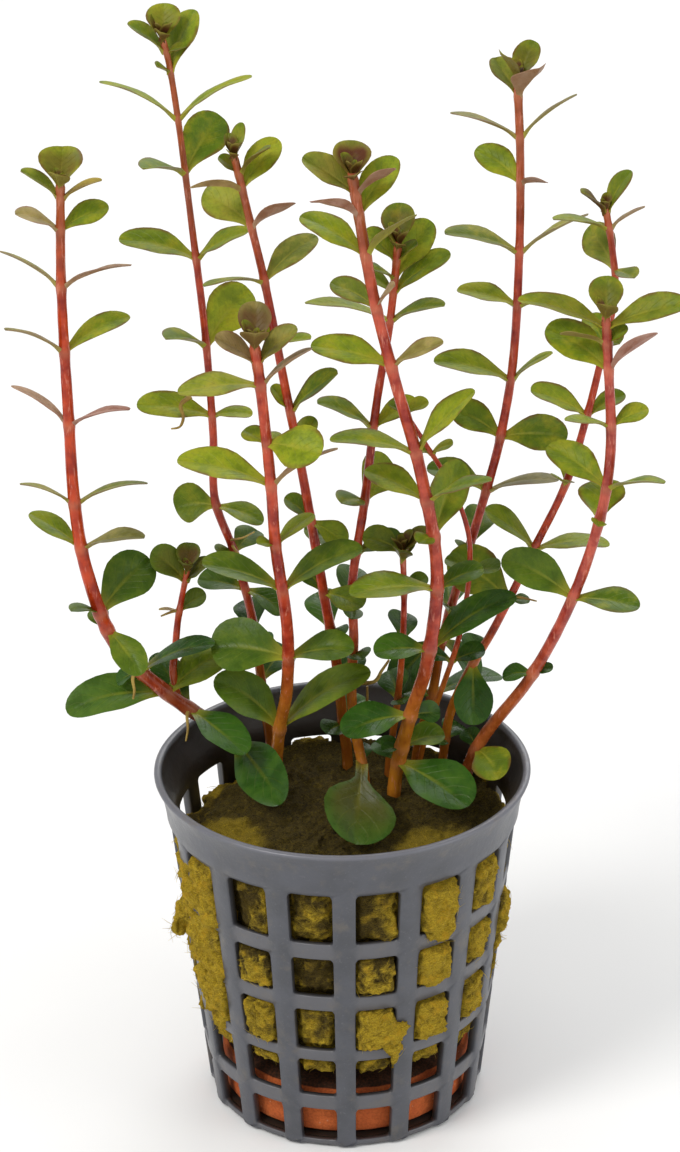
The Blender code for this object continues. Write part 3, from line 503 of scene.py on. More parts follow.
class Value:
    """What a node gives. Its sums, ranges and blends are further nodes."""

    def __init__(self, paint, socket):
        self.paint = paint
        self.socket = socket

    def work(self, operation, other=0.0):
        return self.paint.node("Math", {0: self, 1: other}, operation=operation)

    def __add__(self, other):
        return self.work("ADD", other)

    def __sub__(self, other):
        return self.work("SUBTRACT", other)

    def __mul__(self, other):
        return self.work("MULTIPLY", other)

    def spread(self, low, high, to_low=0.0, to_high=1.0):
        """Maps the range from low to high smoothly onto another one."""
        ends = {"From Min": low, "From Max": high, "To Min": to_low, "To Max": to_high}
        inputs = {"Value": self, **ends}
        return self.paint.node("MapRange", inputs, "Result", interpolation_type="SMOOTHSTEP")

    def blend(self, first, second):
        """Goes from the first colour to the second as the value goes from 0 to 1."""
        inputs = {"Factor": self, 6: first, 7: second}
        return self.paint.node("Mix", inputs, 2, data_type="RGBA")


class Paint:
    """Builds a material's nodes in short steps, with one colour coat over the other."""

    def __init__(self, name, **sockets):
        self.made = bpy.data.materials.new(name)
        self.made.use_nodes = True
        self.tree = self.made.node_tree
        self.shader = self.tree.nodes["Principled BSDF"]
        for title, value in sockets.items():
            self.feed(self.shader, title.replace("_", " "), value)

    def feed(self, node, title, value):
        socket = node.inputs[title]
        if isinstance(value, Value):
            self.tree.links.new(value.socket, socket)
        elif socket.type == "RGBA":
            socket.default_value = (*value, 1.0)
        else:
            socket.default_value = value

    def node(self, kind, inputs, output=0, **settings):
        """Makes a node, feeds its inputs and returns one of its outputs."""
        made = self.tree.nodes.new("ShaderNode" + kind)
        for key, value in settings.items():
            setattr(made, key, value)
        for title, value in inputs.items():
            self.feed(made, title, value)
        return Value(self, made.outputs[output])

    def grains(self, size, stretch=(1.0, 1.0, 1.0)):
        """The inputs of a pattern whose grains are about so many millimetres."""
        where = self.node("TexCoord", {}, "Object")
        place = self.node("Mapping", {"Vector": where, "Scale": stretch}, "Vector")
        return {"Vector": place, "Scale": 1.0 / (size * MM)}

    def noise(self, size, detail, rough, stretch=(1.0, 1.0, 1.0), warp=0.0):
        inputs = {"Detail": detail, "Roughness": rough, "Distortion": warp}
        return self.node("TexNoise", {**self.grains(size, stretch), **inputs}, "Fac")

    def cells(self, size):
        return self.node("TexVoronoi", self.grains(size), "Distance")

    def channels(self, title):
        """The four values of a colour attribute: red, green, blue and alpha."""
        source = self.node("Attribute", {}, "Color", attribute_name=title)
        split = self.node("SeparateColor", {0: source})
        sockets = [*split.socket.node.outputs, source.socket.node.outputs["Alpha"]]
        return [Value(self, socket) for socket in sockets]

    def coat(self, colour, share=None):
        """Lays a colour over the ones before it, as far as share says."""
        self.colour = colour if share is None else share.blend(self.colour, colour)

    def finish(self, *layers, rough=None):
        """Ends with height layers, each with its depth in millimetres, and the roughness."""
        self.feed(self.shader, "Base Color", self.colour)
        if rough:
            self.feed(self.shader, "Roughness", rough)
        normal = None
        for height, depth in layers:
            inputs = {"Height": height, "Distance": depth * MM, "Strength": 1.0}
            if normal:
                inputs["Normal"] = normal
            normal = self.node("Bump", inputs, "Normal")
        if normal:
            self.feed(self.shader, "Normal", normal)
        return self.made


def plastic_surface():
    """Slate grey moulded plastic with a few scuffs and damp marks, painted shade on its inside and
    floor, and a painted highlight along the outer edge of the lip.

    tint is how far inside the pot a point is, which sets the painted shade, how much it is a bar,
    and how much it is the lip's edge, which gets the painted highlight.
    """
    paint = Paint("slate_plastic", Specular_IOR_Level=0.75)
    inside, bar, lip, _ = paint.channels("tint")
    mottle = paint.noise(5.0, 4.0, 0.6)
    speck = paint.noise(0.5, 3.0, 0.7)
    scum = paint.noise(3.5, 5.0, 0.65)
    paint.coat(mottle.spread(0.3, 0.7).blend((0.040, 0.043, 0.053), (0.060, 0.064, 0.080)))
    paint.coat((0.15, 0.15, 0.165), speck.spread(0.58, 0.75, 0.0, 0.35))
    paint.coat((0.110, 0.107, 0.115), bar * 0.5)
    # Painted highlight: the outer edge of the lip turns a lighter bluish grey.
    paint.coat((0.19, 0.19, 0.22), lip * 0.45)
    paint.coat((0.125, 0.105, 0.080), scum.spread(0.52, 0.72) * 0.5)
    # Painted shade: the inside and the floor of the pot turn near black.
    paint.coat((0.022, 0.018, 0.014), inside)
    return paint.finish((mottle, 0.12), (speck, 0.03), rough=mottle.spread(0.3, 0.75, 0.30, 0.46))


def wool_surface():
    """Matted mineral fibre, ochre to dark olive brown: painted light brightens it where it swells
    out, painted shade darkens it where it is sunk, and it is dark where it is wet.

    tint is how bright the wool is, painted light and shade included, how much of it is the damp
    top, its moss, and its fibres.
    """
    paint = Paint("rock_wool", Roughness=0.95, Specular_IOR_Level=0.2)
    level, top, moss, fibre = paint.channels("tint")
    clot = paint.noise(1.9, 4.0, 0.6)
    strands = paint.noise(0.62, 6.0, 0.72, (1.0, 1.0, 2.2), 2.2)
    fine = paint.noise(0.24, 4.0, 0.7, (2.2, 1.0, 1.0), 2.5)
    uneven = (clot - 0.5) * 0.8 + (strands - 0.5) * 0.6
    bright = strands.spread(0.35, 0.65).blend((0.36, 0.220, 0.010), (0.80, 0.570, 0.045))
    bright = clot.spread(0.5, 0.72, 0.0, 0.6).blend(bright, (0.80, 0.46, 0.024))
    dark = strands.spread(0.38, 0.7).blend((0.045, 0.030, 0.006), (0.19, 0.130, 0.018))
    dark = clot.spread(0.55, 0.7, 0.0, 0.6).blend(dark, (0.28, 0.190, 0.026))
    # level carries painted light where the wool stands out and painted shade where it is sunk or
    # hollow.
    paint.coat((level + uneven).spread(0.12, 0.88).blend(dark, bright))
    soil = strands.spread(0.38, 0.66).blend((0.034, 0.024, 0.006), (0.165, 0.118, 0.018))
    growth = fine.spread(0.35, 0.65).blend((0.130, 0.104, 0.010), (0.540, 0.370, 0.030))
    paint.coat((moss + uneven).spread(0.35, 0.9).blend(soil, growth), top)
    paint.coat((0.80, 0.60, 0.10), fibre * (level * 0.5))
    paint.coat((0.030, 0.018, 0.003), fine.spread(0.3, 0.6, 0.32, 0.0))
    return paint.finish((clot, 0.45), (strands, 0.45), (fine, 0.16))


def clay_surface():
    """Unglazed terracotta with grain, a few pale specks, and a painted shadow of the wool over its
    top.

    The red of tint is how much of that painted shadow the clay gets.
    """
    paint = Paint("terracotta", Specular_IOR_Level=0.3)
    top_shadow = paint.channels("tint")[0]
    patch = paint.noise(4.0, 4.0, 0.6)
    grain = paint.noise(0.35, 4.0, 0.7)
    paint.coat(patch.spread(0.3, 0.7).blend((0.46, 0.092, 0.020), (0.62, 0.150, 0.038)))
    paint.coat((0.24, 0.044, 0.012), grain.spread(0.35, 0.6, 0.45, 0.0))
    paint.coat((0.66, 0.34, 0.20), paint.cells(1.7).spread(0.10, 0.04, 0.0, 0.6))
    # Painted shadow of the wool on the clay's top: dark brown with grain, patchy at its edge.
    shadowed = grain.spread(0.35, 0.7).blend((0.020, 0.009, 0.004), (0.085, 0.028, 0.010))
    paint.coat(shadowed, (top_shadow + (patch - 0.5) * 0.9).spread(0.3, 0.6))
    return paint.finish((patch, 0.15), (grain, 0.08), rough=patch.spread(0.3, 0.7, 0.8, 0.95))


def leaf_surface():
    """Waxy leaf: yellowish at its base and midrib, green to olive, mauve where it blushes.

    tint is the share along the leaf, the share across it, its upper side and its tone. mood is
    how low the leaf grows, its blush, how withered it is, and how brown its heart is.
    """
    paint = Paint("waxy_leaf", Specular_IOR_Level=0.16)
    along, across, upper, tone = paint.channels("tint")
    low, blush, dead, heart = paint.channels("mood")
    cloud = paint.noise(2.6, 4.0, 0.6)
    fleck = paint.noise(0.45, 3.0, 0.65)
    high_green = tone.blend((0.105, 0.172, 0.006), (0.275, 0.330, 0.012))
    low_green = tone.blend((0.015, 0.050, 0.005), (0.036, 0.104, 0.010))
    paint.coat(low.blend(high_green, low_green))
    gold = low.blend((0.335, 0.310, 0.014), (0.055, 0.125, 0.010))
    paint.coat(gold, cloud.spread(0.44, 0.72, 0.0, 0.70))
    shade = low.blend((0.060, 0.112, 0.004), (0.014, 0.042, 0.004))
    paint.coat(shade, cloud.spread(0.54, 0.30, 0.0, 0.50))
    paint.coat((0.03, 0.055, 0.006), fleck.spread(0.35, 0.6, 0.18, 0.0))
    edge = across.spread(0.72, 1.0) * cloud.spread(0.62, 0.42) * low.spread(0.7, 0.1, 0.0, 0.8)
    paint.coat((0.15, 0.060, 0.014), edge)
    vein = ((along * 7.0 - across * 2.4).work("FRACT") - 0.5).work("ABSOLUTE")
    vein = vein.spread(0.09, 0.0) * across.spread(0.9, 0.4)
    paint.coat((0.26, 0.30, 0.05), vein * 0.09)
    under = low.blend((0.215, 0.165, 0.036), (0.080, 0.130, 0.022))
    paint.coat(under, upper.spread(0.7, 0.3, 0.0, 0.75))
    rib = across.spread(0.12, 0.02) * along.spread(0.9, 0.3) * low.spread(0.0, 1.0, 0.50, 0.30)
    paint.coat((0.36, 0.36, 0.040), rib)
    paint.coat((0.40, 0.38, 0.035), (along + cloud * 0.12).spread(0.38, 0.06) * 0.80)
    rose = cloud.spread(0.3, 0.7).blend((0.27, 0.105, 0.070), (0.42, 0.235, 0.185))
    paint.coat(rose, blush)
    brown = heart * cloud.spread(0.30, 0.60, 0.75, 1.0)
    brown = brown * along.spread(1.0, 0.65, 0.30, 1.1) * across.spread(1.0, 0.60, 0.45, 1.1)
    paint.coat((0.090, 0.027, 0.008), brown)
    straw = cloud.spread(0.3, 0.7).blend((0.22, 0.125, 0.030), (0.44, 0.31, 0.075))
    paint.coat(straw, dead)
    wax = cloud.spread(0.3, 0.75, 0.40, 0.52) - low * 0.16
    return paint.finish((vein, -0.03), (cloud, 0.10), (fleck, 0.02), rough=wax)


def stem_surface():
    """Glossy red stem: orange or dark at the foot, rosy at its nodes, crimson between them, with
    painted highlight streaks.

    tint is the share up the shoot, how near a node is, how pink it is, and how orange its foot is.
    """
    paint = Paint("glossy_stem", Specular_IOR_Level=0.32)
    share, knot, pink, orange = paint.channels("tint")
    streak = paint.noise(0.5, 4.0, 0.65, (1.0, 1.0, 0.18))
    patch = paint.noise(3.0, 3.0, 0.6)
    red = patch.spread(0.28, 0.72).blend((0.22, 0.009, 0.002), (0.52, 0.050, 0.005))
    rosy = patch.spread(0.28, 0.72).blend((0.21, 0.012, 0.010), (0.52, 0.095, 0.056))
    paint.coat(pink.blend(red, rosy))
    foot = patch.spread(0.3, 0.7).blend((0.40, 0.125, 0.010), (0.56, 0.21, 0.018))
    foot = orange.blend((0.155, 0.022, 0.010), foot)
    paint.coat(foot, share.spread(0.30, 0.10) * pink.spread(0.75, 0.95, 1.0, 0.45))
    paint.coat((0.29, 0.105, 0.030), share.spread(0.80, 1.0, 0.0, 0.5))
    # Painted highlights: pale pink streaks along the stem.
    paint.coat((0.70, 0.26, 0.17), streak.spread(0.56, 0.70, 0.0, 0.55))
    paint.coat((0.17, 0.020, 0.010), streak.spread(0.46, 0.25, 0.0, 0.45))
    paint.coat((0.46, 0.18, 0.09), knot * 0.35)
    return paint.finish((streak, 0.03), (patch, 0.08), rough=streak.spread(0.3, 0.7, 0.13, 0.24))


def floor_surface():
    paint = Paint("pale_floor", Specular_IOR_Level=0.2, Roughness=0.85)
    cloud = paint.noise(60.0, 2.0, 0.5)
    paint.coat(cloud.spread(0.3, 0.7).blend((0.84, 0.84, 0.84), (0.87, 0.87, 0.865)))
    return paint.finish()


def outer_radius(height):
    """Radius of the pot's outside without its relief."""
    for (r0, z0), (r1, z1) in zip(OUTSIDE, OUTSIDE[1:]):
        if height <= z1:
            return r0 + (r1 - r0) * (height - z0) / (z1 - z0)
    return OUTSIDE[-1][0]


def off_rib(azimuth):
    """Angle from the middle of the nearest rib."""
    return abs((azimuth - FRONT_RIB + PITCH / 2) % PITCH - PITCH / 2)


def wall_place(azimuth, height, depth):
    """A point of the wall: bars lie a little behind the ribs, and the foot between ribs too."""
    radius = outer_radius(height)
    if depth < WALL / 2:
        sunk = ease(off_rib(azimuth), RIB_ANGLE / 2 - 0.1, RIB_ANGLE / 2 + 0.9)
        radius -= BAR_INSET * sunk * fade(height, *BARS_END)
        radius -= (FOOT_INSET - BAR_INSET) * sunk * fade(height, *FOOT_END)
        radius += BAND_STEP * ease(height, *STEP_RISE) * fade(height, *STEP_FADE)
    return polar(radius - depth, azimuth, height)


def flat_place(azimuth, radius, height):
    return polar(radius, azimuth, height)


def loop_round(window, corner, sides, spot):
    """A loop round a window: five spots at each corner, and more on its low and high sides.

    spot gives the place of a corner's step from the middle of its rounding.
    """
    u0, u1, v0, v1 = window
    ru, rv = corner
    middles = [(u0 + ru, v0 + rv), (u1 - ru, v0 + rv), (u1 - ru, v1 - rv), (u0 + ru, v1 - rv)]
    loop = []
    for index, (u, v) in enumerate(middles):
        loop += [spot(index, step, u, v) for step in range(5)]
        if index in (0, 2):
            level = loop[-1][1]
            span = middles[index + 1][0] - u
            loop += [(u + span * side / (sides + 1), level) for side in range(1, sides + 1)]
    return loop


def window_loop(window, corner, grow, sides):
    """Points round a window that is grown outwards by an edge."""

    def spot(index, step, u, v):
        turn = math.radians(180 + 90 * index + 22.5 * step)
        return (
            u + (corner[0] + grow[0]) * math.cos(turn),
            v + (corner[1] + grow[1]) * math.sin(turn),
        )

    return loop_round(window, corner, sides, spot)


def cell_loop(cell, window, corner, sides):
    """Points round a cell's edge that face the points of its window loop."""

    def spot(index, step, u, v):
        weights = (min(1.0, 2.0 - step / 2), min(1.0, step / 2))
        share_u, share_v = weights if index in (0, 2) else weights[::-1]
        edge_u, edge_v = cell[index in (1, 2)], cell[2 + (index in (2, 3))]
        return (
            edge_u * share_u + u * (1.0 - share_u),
            edge_v * share_v + v * (1.0 - share_v),
        )

    return loop_round(window, corner, sides, spot)


def pierce(bm, place, cell, inner_cell, window, corner, edge, thick, sides):
    """One cell of a pierced sheet, from its outer face through the window to its inner face."""
    deep = min(EDGE, thick / 3)
    near = []
    for grow, share in ((1.0, 0.0), (0.3, 0.3), (0.0, 1.0)):
        loop = window_loop(window, corner, (edge[0] * grow, edge[1] * grow), sides)
        near.append((loop, deep * share))
    far = [(loop, thick - depth) for loop, depth in reversed(near)]
    face = (cell_loop(cell, window, corner, sides), 0.0)
    back = (cell_loop(inner_cell, window, corner, sides), thick)
    rings = []
    for loop, depth in (face, *near, *far, back):
        rings.append([bm.verts.new(place(u, v, depth)) for u, v in loop])
    for corners in skin_faces(rings):
        bm.faces.new(corners)
    return rings


def join_rings(bm, outer, inner):
    """Fills the flat ring between two circles with different counts of points."""
    edges = []
    for ring in (outer, inner):
        edges += [bm.edges.get(pair) or bm.edges.new(pair) for pair in around(ring)]
    bmesh.ops.bridge_loops(bm, edges=edges)


def add_pot_floor(bm):
    """The slotted floor. Returns the rings of its underside and its top."""
    pitch = 2 * PITCH
    rims = [{}, {}]
    hubs = [{}, {}]
    for bay in range(RIB_COUNT // 2):
        low = FRONT_RIB + bay * pitch
        cell = (low, low + pitch, HUB_RADIUS - SLOT_MARGIN, SLOT_OUTER_RADIUS + SLOT_MARGIN)
        window = (low + RIB_ANGLE / 2, low + pitch - RIB_ANGLE / 2, HUB_RADIUS, SLOT_OUTER_RADIUS)
        shared = (window, SLOT_CORNER)
        made = pierce(bm, flat_place, cell, cell, *shared, (1.0, 0.2), FLOOR, SLOT_POINTS)
        loop = cell_loop(cell, *shared, SLOT_POINTS)
        for side, ring in enumerate((made[0], made[-1])):
            for (u, v), vertex in zip(loop, ring):
                if v == cell[3]:
                    rims[side][round(u % 360.0, 4)] = vertex
                elif v == cell[2]:
                    hubs[side][round(u % 360.0, 4)] = vertex
    for hub in hubs:
        bm.faces.new([hub[u] for u in sorted(hub)])
    return [[rim[u] for u in sorted(rim)] for rim in rims]


def pot_tint(point):
    """How far inside the pot a point is, for the painted shade, how much it is a bar, and how much
    it is the lip's outer edge, for the painted highlight.
    """
    radius = math.hypot(point.x, point.y)
    inside = ease(outer_radius(point.z) - radius, 0.35, 0.95) if point.z < 49.4 else 0.0
    # The floor inside the wall gets half of the painted shade.
    if point.z < 1.1 and radius < 17.5:
        inside = 0.5
    bar = ease(off_rib(azimuth_of(point)), RIB_ANGLE / 2, RIB_ANGLE / 2 + 1.0)
    bar *= fade(point.z, 42.5, 43.0)
    # The lip's outer edge carries the painted highlight.
    lip = ease(point.z, 49.3, 49.8) * ease(radius, 25.0, 25.4)
    return (inside, bar * (1.0 - inside), lip, 0.0)


def build_pot(surface):
    bm = bmesh.new()
    edge = (EDGE * 2.6, EDGE)
    breaks = [FOOT_EDGE]
    for (_, head), (sill, _) in zip(WINDOW_ROWS, WINDOW_ROWS[1:]):
        breaks.append((head + sill) / 2)
    breaks.append(WALL_TOP)
    columns = set()
    for bay in range(RIB_COUNT):
        middle = FRONT_RIB + (bay + 0.5) * PITCH
        for row, heights in enumerate(WINDOW_ROWS):
            window = (middle - HALF_WINDOW, middle + HALF_WINDOW, *heights)
            cell = (middle - PITCH / 2, middle + PITCH / 2, *breaks[row:row + 2])
            inner = (*cell[:2], cell[2] if row else FLOOR, cell[3])
            shared = (window, WINDOW_CORNER)
            pierce(bm, wall_place, cell, inner, *shared, edge, WALL, WINDOW_POINTS)
            loop = cell_loop(cell, *shared, WINDOW_POINTS)
            columns |= {round(u, 6) for u, v in loop if v == cell[3]}
    first = min(columns)
    columns = [u for u in sorted(columns) if u < first + 360.0 - 1e-4]

    def ring(place, *where):
        return [bm.verts.new(place(u, *where)) for u in columns]

    band = [ring(wall_place, height, 0.0) for height in (WALL_TOP, *(z for _, z in OUTSIDE[2:]))]
    band += [ring(flat_place, radius, height) for radius, height in LIP]
    band.append(ring(wall_place, WALL_TOP, WALL))
    foot = [ring(wall_place, FOOT_EDGE, 0.0), ring(wall_place, 0.0, FOOT_EDGE)]
    for corners in (*skin_faces(band), *skin_faces(foot[::-1])):
        bm.faces.new(corners)
    wall_rings = (foot[1], ring(wall_place, FLOOR, WALL))
    for wall_ring, floor_ring in zip(wall_rings, add_pot_floor(bm)):
        join_rings(bm, wall_ring, floor_ring)
    bmesh.ops.remove_doubles(bm, verts=bm.verts, dist=WELD)
    bmesh.ops.recalc_face_normals(bm, faces=bm.faces)
    bm.verts.index_update()
    shape = Shape()
    for vertex in bm.verts:
        shape.add(vertex.co, pot_tint(vertex.co))
    for face in bm.faces:
        shape.face(vertex.index for vertex in face.verts)
    bm.free()
    made = shape.make("net_pot_detailed", surface)
    made.data.set_sharp_from_angle(angle=math.radians(POT_SHARP_ANGLE))
    return made


def build_clay(surface):
    """A fired disc with worn edges and a slightly uneven face."""
    shape = Shape()
    rings = []
    for radius, height in CLAY_PROFILE[1:-1]:
        points = []
        for i in range(CLAY_SIDES):
            point = polar(radius, 360.0 * i / CLAY_SIDES, height)
            outwards = Vector((point.x, point.y, 0.0)).normalized()
            points.append(point + outwards * min(lumps(point, (0.45, 0.16), (1.7, 0.07)), 0.0))
        # The red of tint sets the painted shadow on the clay's top.
        rings.append(shape.ring(points, (ease(height, *SHADOWED_TOP_HEIGHTS), 0.0, 0.0, 0.0)))
    for corners in skin_faces(rings):
        shape.face(corners)
    under = shape.add((0.0, 0.0, CLAY_PROFILE[0][1]))
    over = shape.add((0.0, 0.0, CLAY_PROFILE[-1][1]), (1.0, 0.0, 0.0, 0.0))
    for a, b in around(rings[0]):
        shape.face((b, a, under))
    for a, b in around(rings[-1]):
        shape.face((a, b, over))
    return shape.make("clay_weight_detailed", surface)


def window_at(azimuth):
    """The column at an azimuth, and how far its middle is away, as a share of its half width."""
    turn = (azimuth - FRONT_RIB) % 360.0
    window = int(turn // PITCH)
    return window, (turn - (window + 0.5) * PITCH) / HALF_WINDOW


def swell_height(azimuth, height):
    """How far the wool comes out through the windows at a point."""
    window, off = window_at(azimuth)
    for row in (1, 2, 3, 4):
        sill, head = WINDOW_ROWS[row]
        sill, head = max(sill, WOOL_FOOT - 0.6), min(head, WOOL_EDGE_HEIGHT)
        if sill - 0.5 < height < head + 0.5:
            past = SWELLS.get(window, {}).get(row, -DEEP_WINDOWS.get((window, row), SUNK))
            past = min(past, MOST_SWOLLEN.get(window, past))
            round_share = fade(abs(off), 0.72, 1.12)
            high_share = ease(height, sill - 0.5, sill + 0.8) * ease(head - height, -0.5, 0.8)
            return (WALL + WOOL_SLACK + past) * round_share * high_share
    return 0.0


def wool_brightness(azimuth, height):
    """How ochre the wool is, from the window that it lies behind."""
    window, off = window_at(azimuth)
    rows = [row for row in (2, 3, 4) if height > WINDOW_ROWS[row][0] - 1.3]
    if not rows:
        return USUAL_LEVEL
    row = rows[-1]
    sill, head = WINDOW_ROWS[row]
    middle = (sill + head) / 2
    usual = USUAL_LEVEL + 0.30 * noise.noise(Vector((window * 1.7, row * 2.3, 0.5)))
    right, up = SLOPES.get((window, row), (0.0, 0.0))
    brightness = LEVELS.get(window, {}).get(row, usual)
    brightness += right * clamp(off, -1.0, 1.0)
    return brightness + up * clamp((height - middle) / (head - middle), -1.0, 1.0)


def wool_tint(point, normal, fibre, relief=0.15):
    """How bright the wool is, with its painted light and shade, how much of it is the damp top, its
    moss, and its fibres.
    """
    radius = math.hypot(point.x, point.y)
    out = outer_radius(point.z) - radius
    bright = wool_brightness(azimuth_of(point) % 360.0, point.z)
    # Painted shade where the wool lies deep behind the wall.
    bright *= 1.0 - 0.6 * ease(out, 1.9, 3.6)
    # Painted light where the wool stands out past the wall.
    bright = max(bright, 0.62 * ease(-out, -0.4, 0.4))
    bright += 0.30 * ease(-out, -0.6, 1.2) - 0.12 * ease(-out, -0.9, -0.5)
    # Painted shade in the hollows of the roughened skin and painted light on its bumps, then a
    # patchy tone.
    bright += 0.65 * clamp(relief, -0.35, 0.3) + 0.45 * noise.noise(point * 0.55)
    top = ease(normal.z, 0.30, 0.75) * ease(point.z, 39.0, 41.5) * ease(23.0 - radius, 0.0, 1.2)
    moss = max(ease(math.hypot(point.x - x, point.y - y), reach, 3.0) for x, y, reach in MOSS)
    return (bright, top, 0.35 + 0.8 * moss, fibre)


def plug_point(azimuth, height):
    """A point of the plug's lumpy side."""
    swell = swell_height(azimuth, height)
    radius = outer_radius(height) - WALL - WOOL_SLACK + swell
    point = polar(radius, azimuth, height)
    clot = lumps(point, (0.33, 1.5), (0.9, 0.7))
    recess = 0.7 if swell < 0.3 else 0.35
    radius += min(clot * recess, 0.5) - 0.35 * recess
    radius -= 0.5 * fade(height, WOOL_FOOT, WOOL_FOOT + 1.2)
    if window_at(azimuth)[0] in HOLLOW_WINDOWS:
        height -= HOLLOW_DEPTH * ease(height, HOLLOW_FOOT, WOOL_EDGE_HEIGHT)
    return polar(radius, azimuth, height)


def add_plug(bm):
    """The plug's side, underside and crowned top."""
    rings = []
    for level in range(WOOL_LEVELS + 1):
        height = WOOL_FOOT + (WOOL_EDGE_HEIGHT - WOOL_FOOT) * level / WOOL_LEVELS
        azimuths = (360.0 * i / WOOL_SIDES for i in range(WOOL_SIDES))
        rings.append([bm.verts.new(plug_point(azimuth, height)) for azimuth in azimuths])
    edge = [vertex.co.copy() for vertex in rings[-1]]
    for share in TOP_RINGS:
        ring = []
        for x, y, z in edge:
            height = WOOL_EDGE_HEIGHT + (z - WOOL_EDGE_HEIGHT) * ease(share, 0.7, 1.0)
            height += (WOOL_CROWN - WOOL_EDGE_HEIGHT) * ease(1.0 - share, 0.0, 0.5)
            point = Vector((x * share, y * share, height))
            point.z += lumps(point, (0.4, 0.9), (1.1, 0.6)) - 0.4
            ring.append(bm.verts.new(point))
        rings.append(ring)
    for corners in (*skin_faces(rings), rings[0][::-1], rings[-1]):
        bm.faces.new(corners)


def add_lobes(bm):
    """Rough lumps that hang out of the windows."""
    for azimuth, height, reach, half_round, half_high, half_out in LOBES:
        out = polar(1.0, azimuth, 0.0)
        side = Vector((-out.y, out.x, 0.0))
        middle = polar(outer_radius(height) + reach - half_out * 0.75, azimuth, height)
        for vertex in bmesh.ops.create_icosphere(bm, subdivisions=4, radius=1.0)["verts"]:
            x, y, z = vertex.co
            point = middle + out * x * half_out + side * y * half_round + UP * (z * half_high)
            point += (point - middle).normalized() * noise.noise(point * 0.8) * 0.7
            vertex.co = point


def build_wool(surface):
    """The plug and its lobes, melted into one skin, then roughened and fringed."""
    bm = bmesh.new()
    add_plug(bm)
    add_lobes(bm)
    mesh = bpy.data.meshes.new("wool_melt")
    bm.to_mesh(mesh)
    bm.free()
    melt = link("wool_melt", mesh)
    remesh = melt.modifiers.new("melt", "REMESH")
    remesh.mode = "VOXEL"
    remesh.voxel_size = WOOL_VOXEL
    evaluated = melt.evaluated_get(bpy.context.evaluated_depsgraph_get())
    melted = bpy.data.meshes.new_from_object(evaluated)
    shape = Shape()
    skin = []
    for vertex in melted.vertices:
        point, normal = vertex.co.copy(), vertex.normal.copy()
        rough = lumps(point, (1.1, 0.42), (3.1, 0.24))
        strand = noise.noise(Vector((point.x * 2.2, point.y * 2.2, point.z * 5.5))) * 0.16
        point += normal * (rough + strand - 0.1)
        shape.add(point, wool_tint(point, normal, 0.0, rough + strand))
        skin.append((point, normal))
    for polygon in melted.polygons:
        shape.face(polygon.vertices)
    bpy.data.objects.remove(melt, do_unlink=True)
    add_fibres(shape, skin)
    return shape.make("wool_plug_detailed", surface)


def add_fibres(shape, skin):
    """Fine stray fibres that leave the skin of the wool and curl over it."""
    draw = random.Random(FIBRE_SEED)
    spots = []
    for point, normal in skin:
        off = window_at(azimuth_of(point))[1]
        if WOOL_FOOT + 0.5 < point.z < 42.0 and normal.z < 0.5 and abs(off) < 1.1:
            spots.append((point, normal))
    for _ in range(FIBRE_COUNT):
        point, normal = draw.choice(spots)
        facing = Vector((draw.uniform(-1, 1), draw.uniform(-1, 1), draw.uniform(-0.8, 0.8)))
        along = (facing - normal * facing.dot(normal)).normalized()
        length = draw.uniform(0.8, 2.2)
        lift = draw.uniform(0.04, 0.20)
        bend = draw.uniform(-1.2, 1.2)
        side = normal.cross(along)
        rings = []
        for step in range(FIBRE_STEPS + 1):
            share = step / FIBRE_STEPS
            middle = point + along * length * share + side * bend * share * share
            middle += normal * (lift * math.sin(math.pi * min(share * 1.2, 1.0)) - 0.06)
            points = circle(middle, normal, side, FIBRE_RADIUS * (1.0 - 0.7 * share), 3)
            rings.append(shape.ring(points, wool_tint(middle, normal, 1.0)))
        shape.tube(rings)


def shoot_point(route, height):
    """The middle of a stem at a height, on a smooth curve through its route."""
    points = [Vector(point) for point in route]
    i = 0
    while i < len(points) - 2 and points[i + 1].z < height:
        i += 1
    span = points[i + 1].z - points[i].z
    a = (height - points[i].z) / span

    def slope(k):
        low, high = points[max(k - 1, 0)], points[min(k + 1, len(points) - 1)]
        return (high - low) / (high.z - low.z) * span

    if a <= 0.0 or a >= 1.0:
        end = i if a <= 0.0 else i + 1
        return points[end] + slope(end) / span * (height - points[end].z)
    made = points[i] * (2 * a**3 - 3 * a**2 + 1) + slope(i) * (a**3 - 2 * a**2 + a)
    made += points[i + 1] * (3 * a**2 - 2 * a**3) + slope(i + 1) * (a**3 - a**2)
    return Vector((made.x, made.y, height))


def shoot_radius(stem, height):
    foot, tip = stem["route"][0][2], stem["route"][-1][2]
    low, high = stem["radii"]
    return low + (high - low) * clamp((height - foot) / (tip - foot))


def leaf_width(height, length):
    low, high = LOW_LEAF_HEIGHTS
    lowness = clamp((high - height) / (high - low))
    width = (LEAF_WIDTH + LEAF_WIDTH_SHARE * length) * (1.0 + (LOW_LEAF_WIDENING - 1.0) * lowness)
    return min(width, LEAF_MAX_SHARE * length)


def leaf_spread(share, fullest):
    """Half width at a share of the leaf's length, as a part of its fullest."""
    start = max(3.0 * (fullest - LEAF_FULLEST[1]), 0.0)
    if share > fullest:
        return math.sqrt(max(1.0 - ((share - fullest) / (1.0 - fullest)) ** 2.1, 0.0))
    return LEAF_STUB + (1.0 - LEAF_STUB) * ease(share, start, fullest)


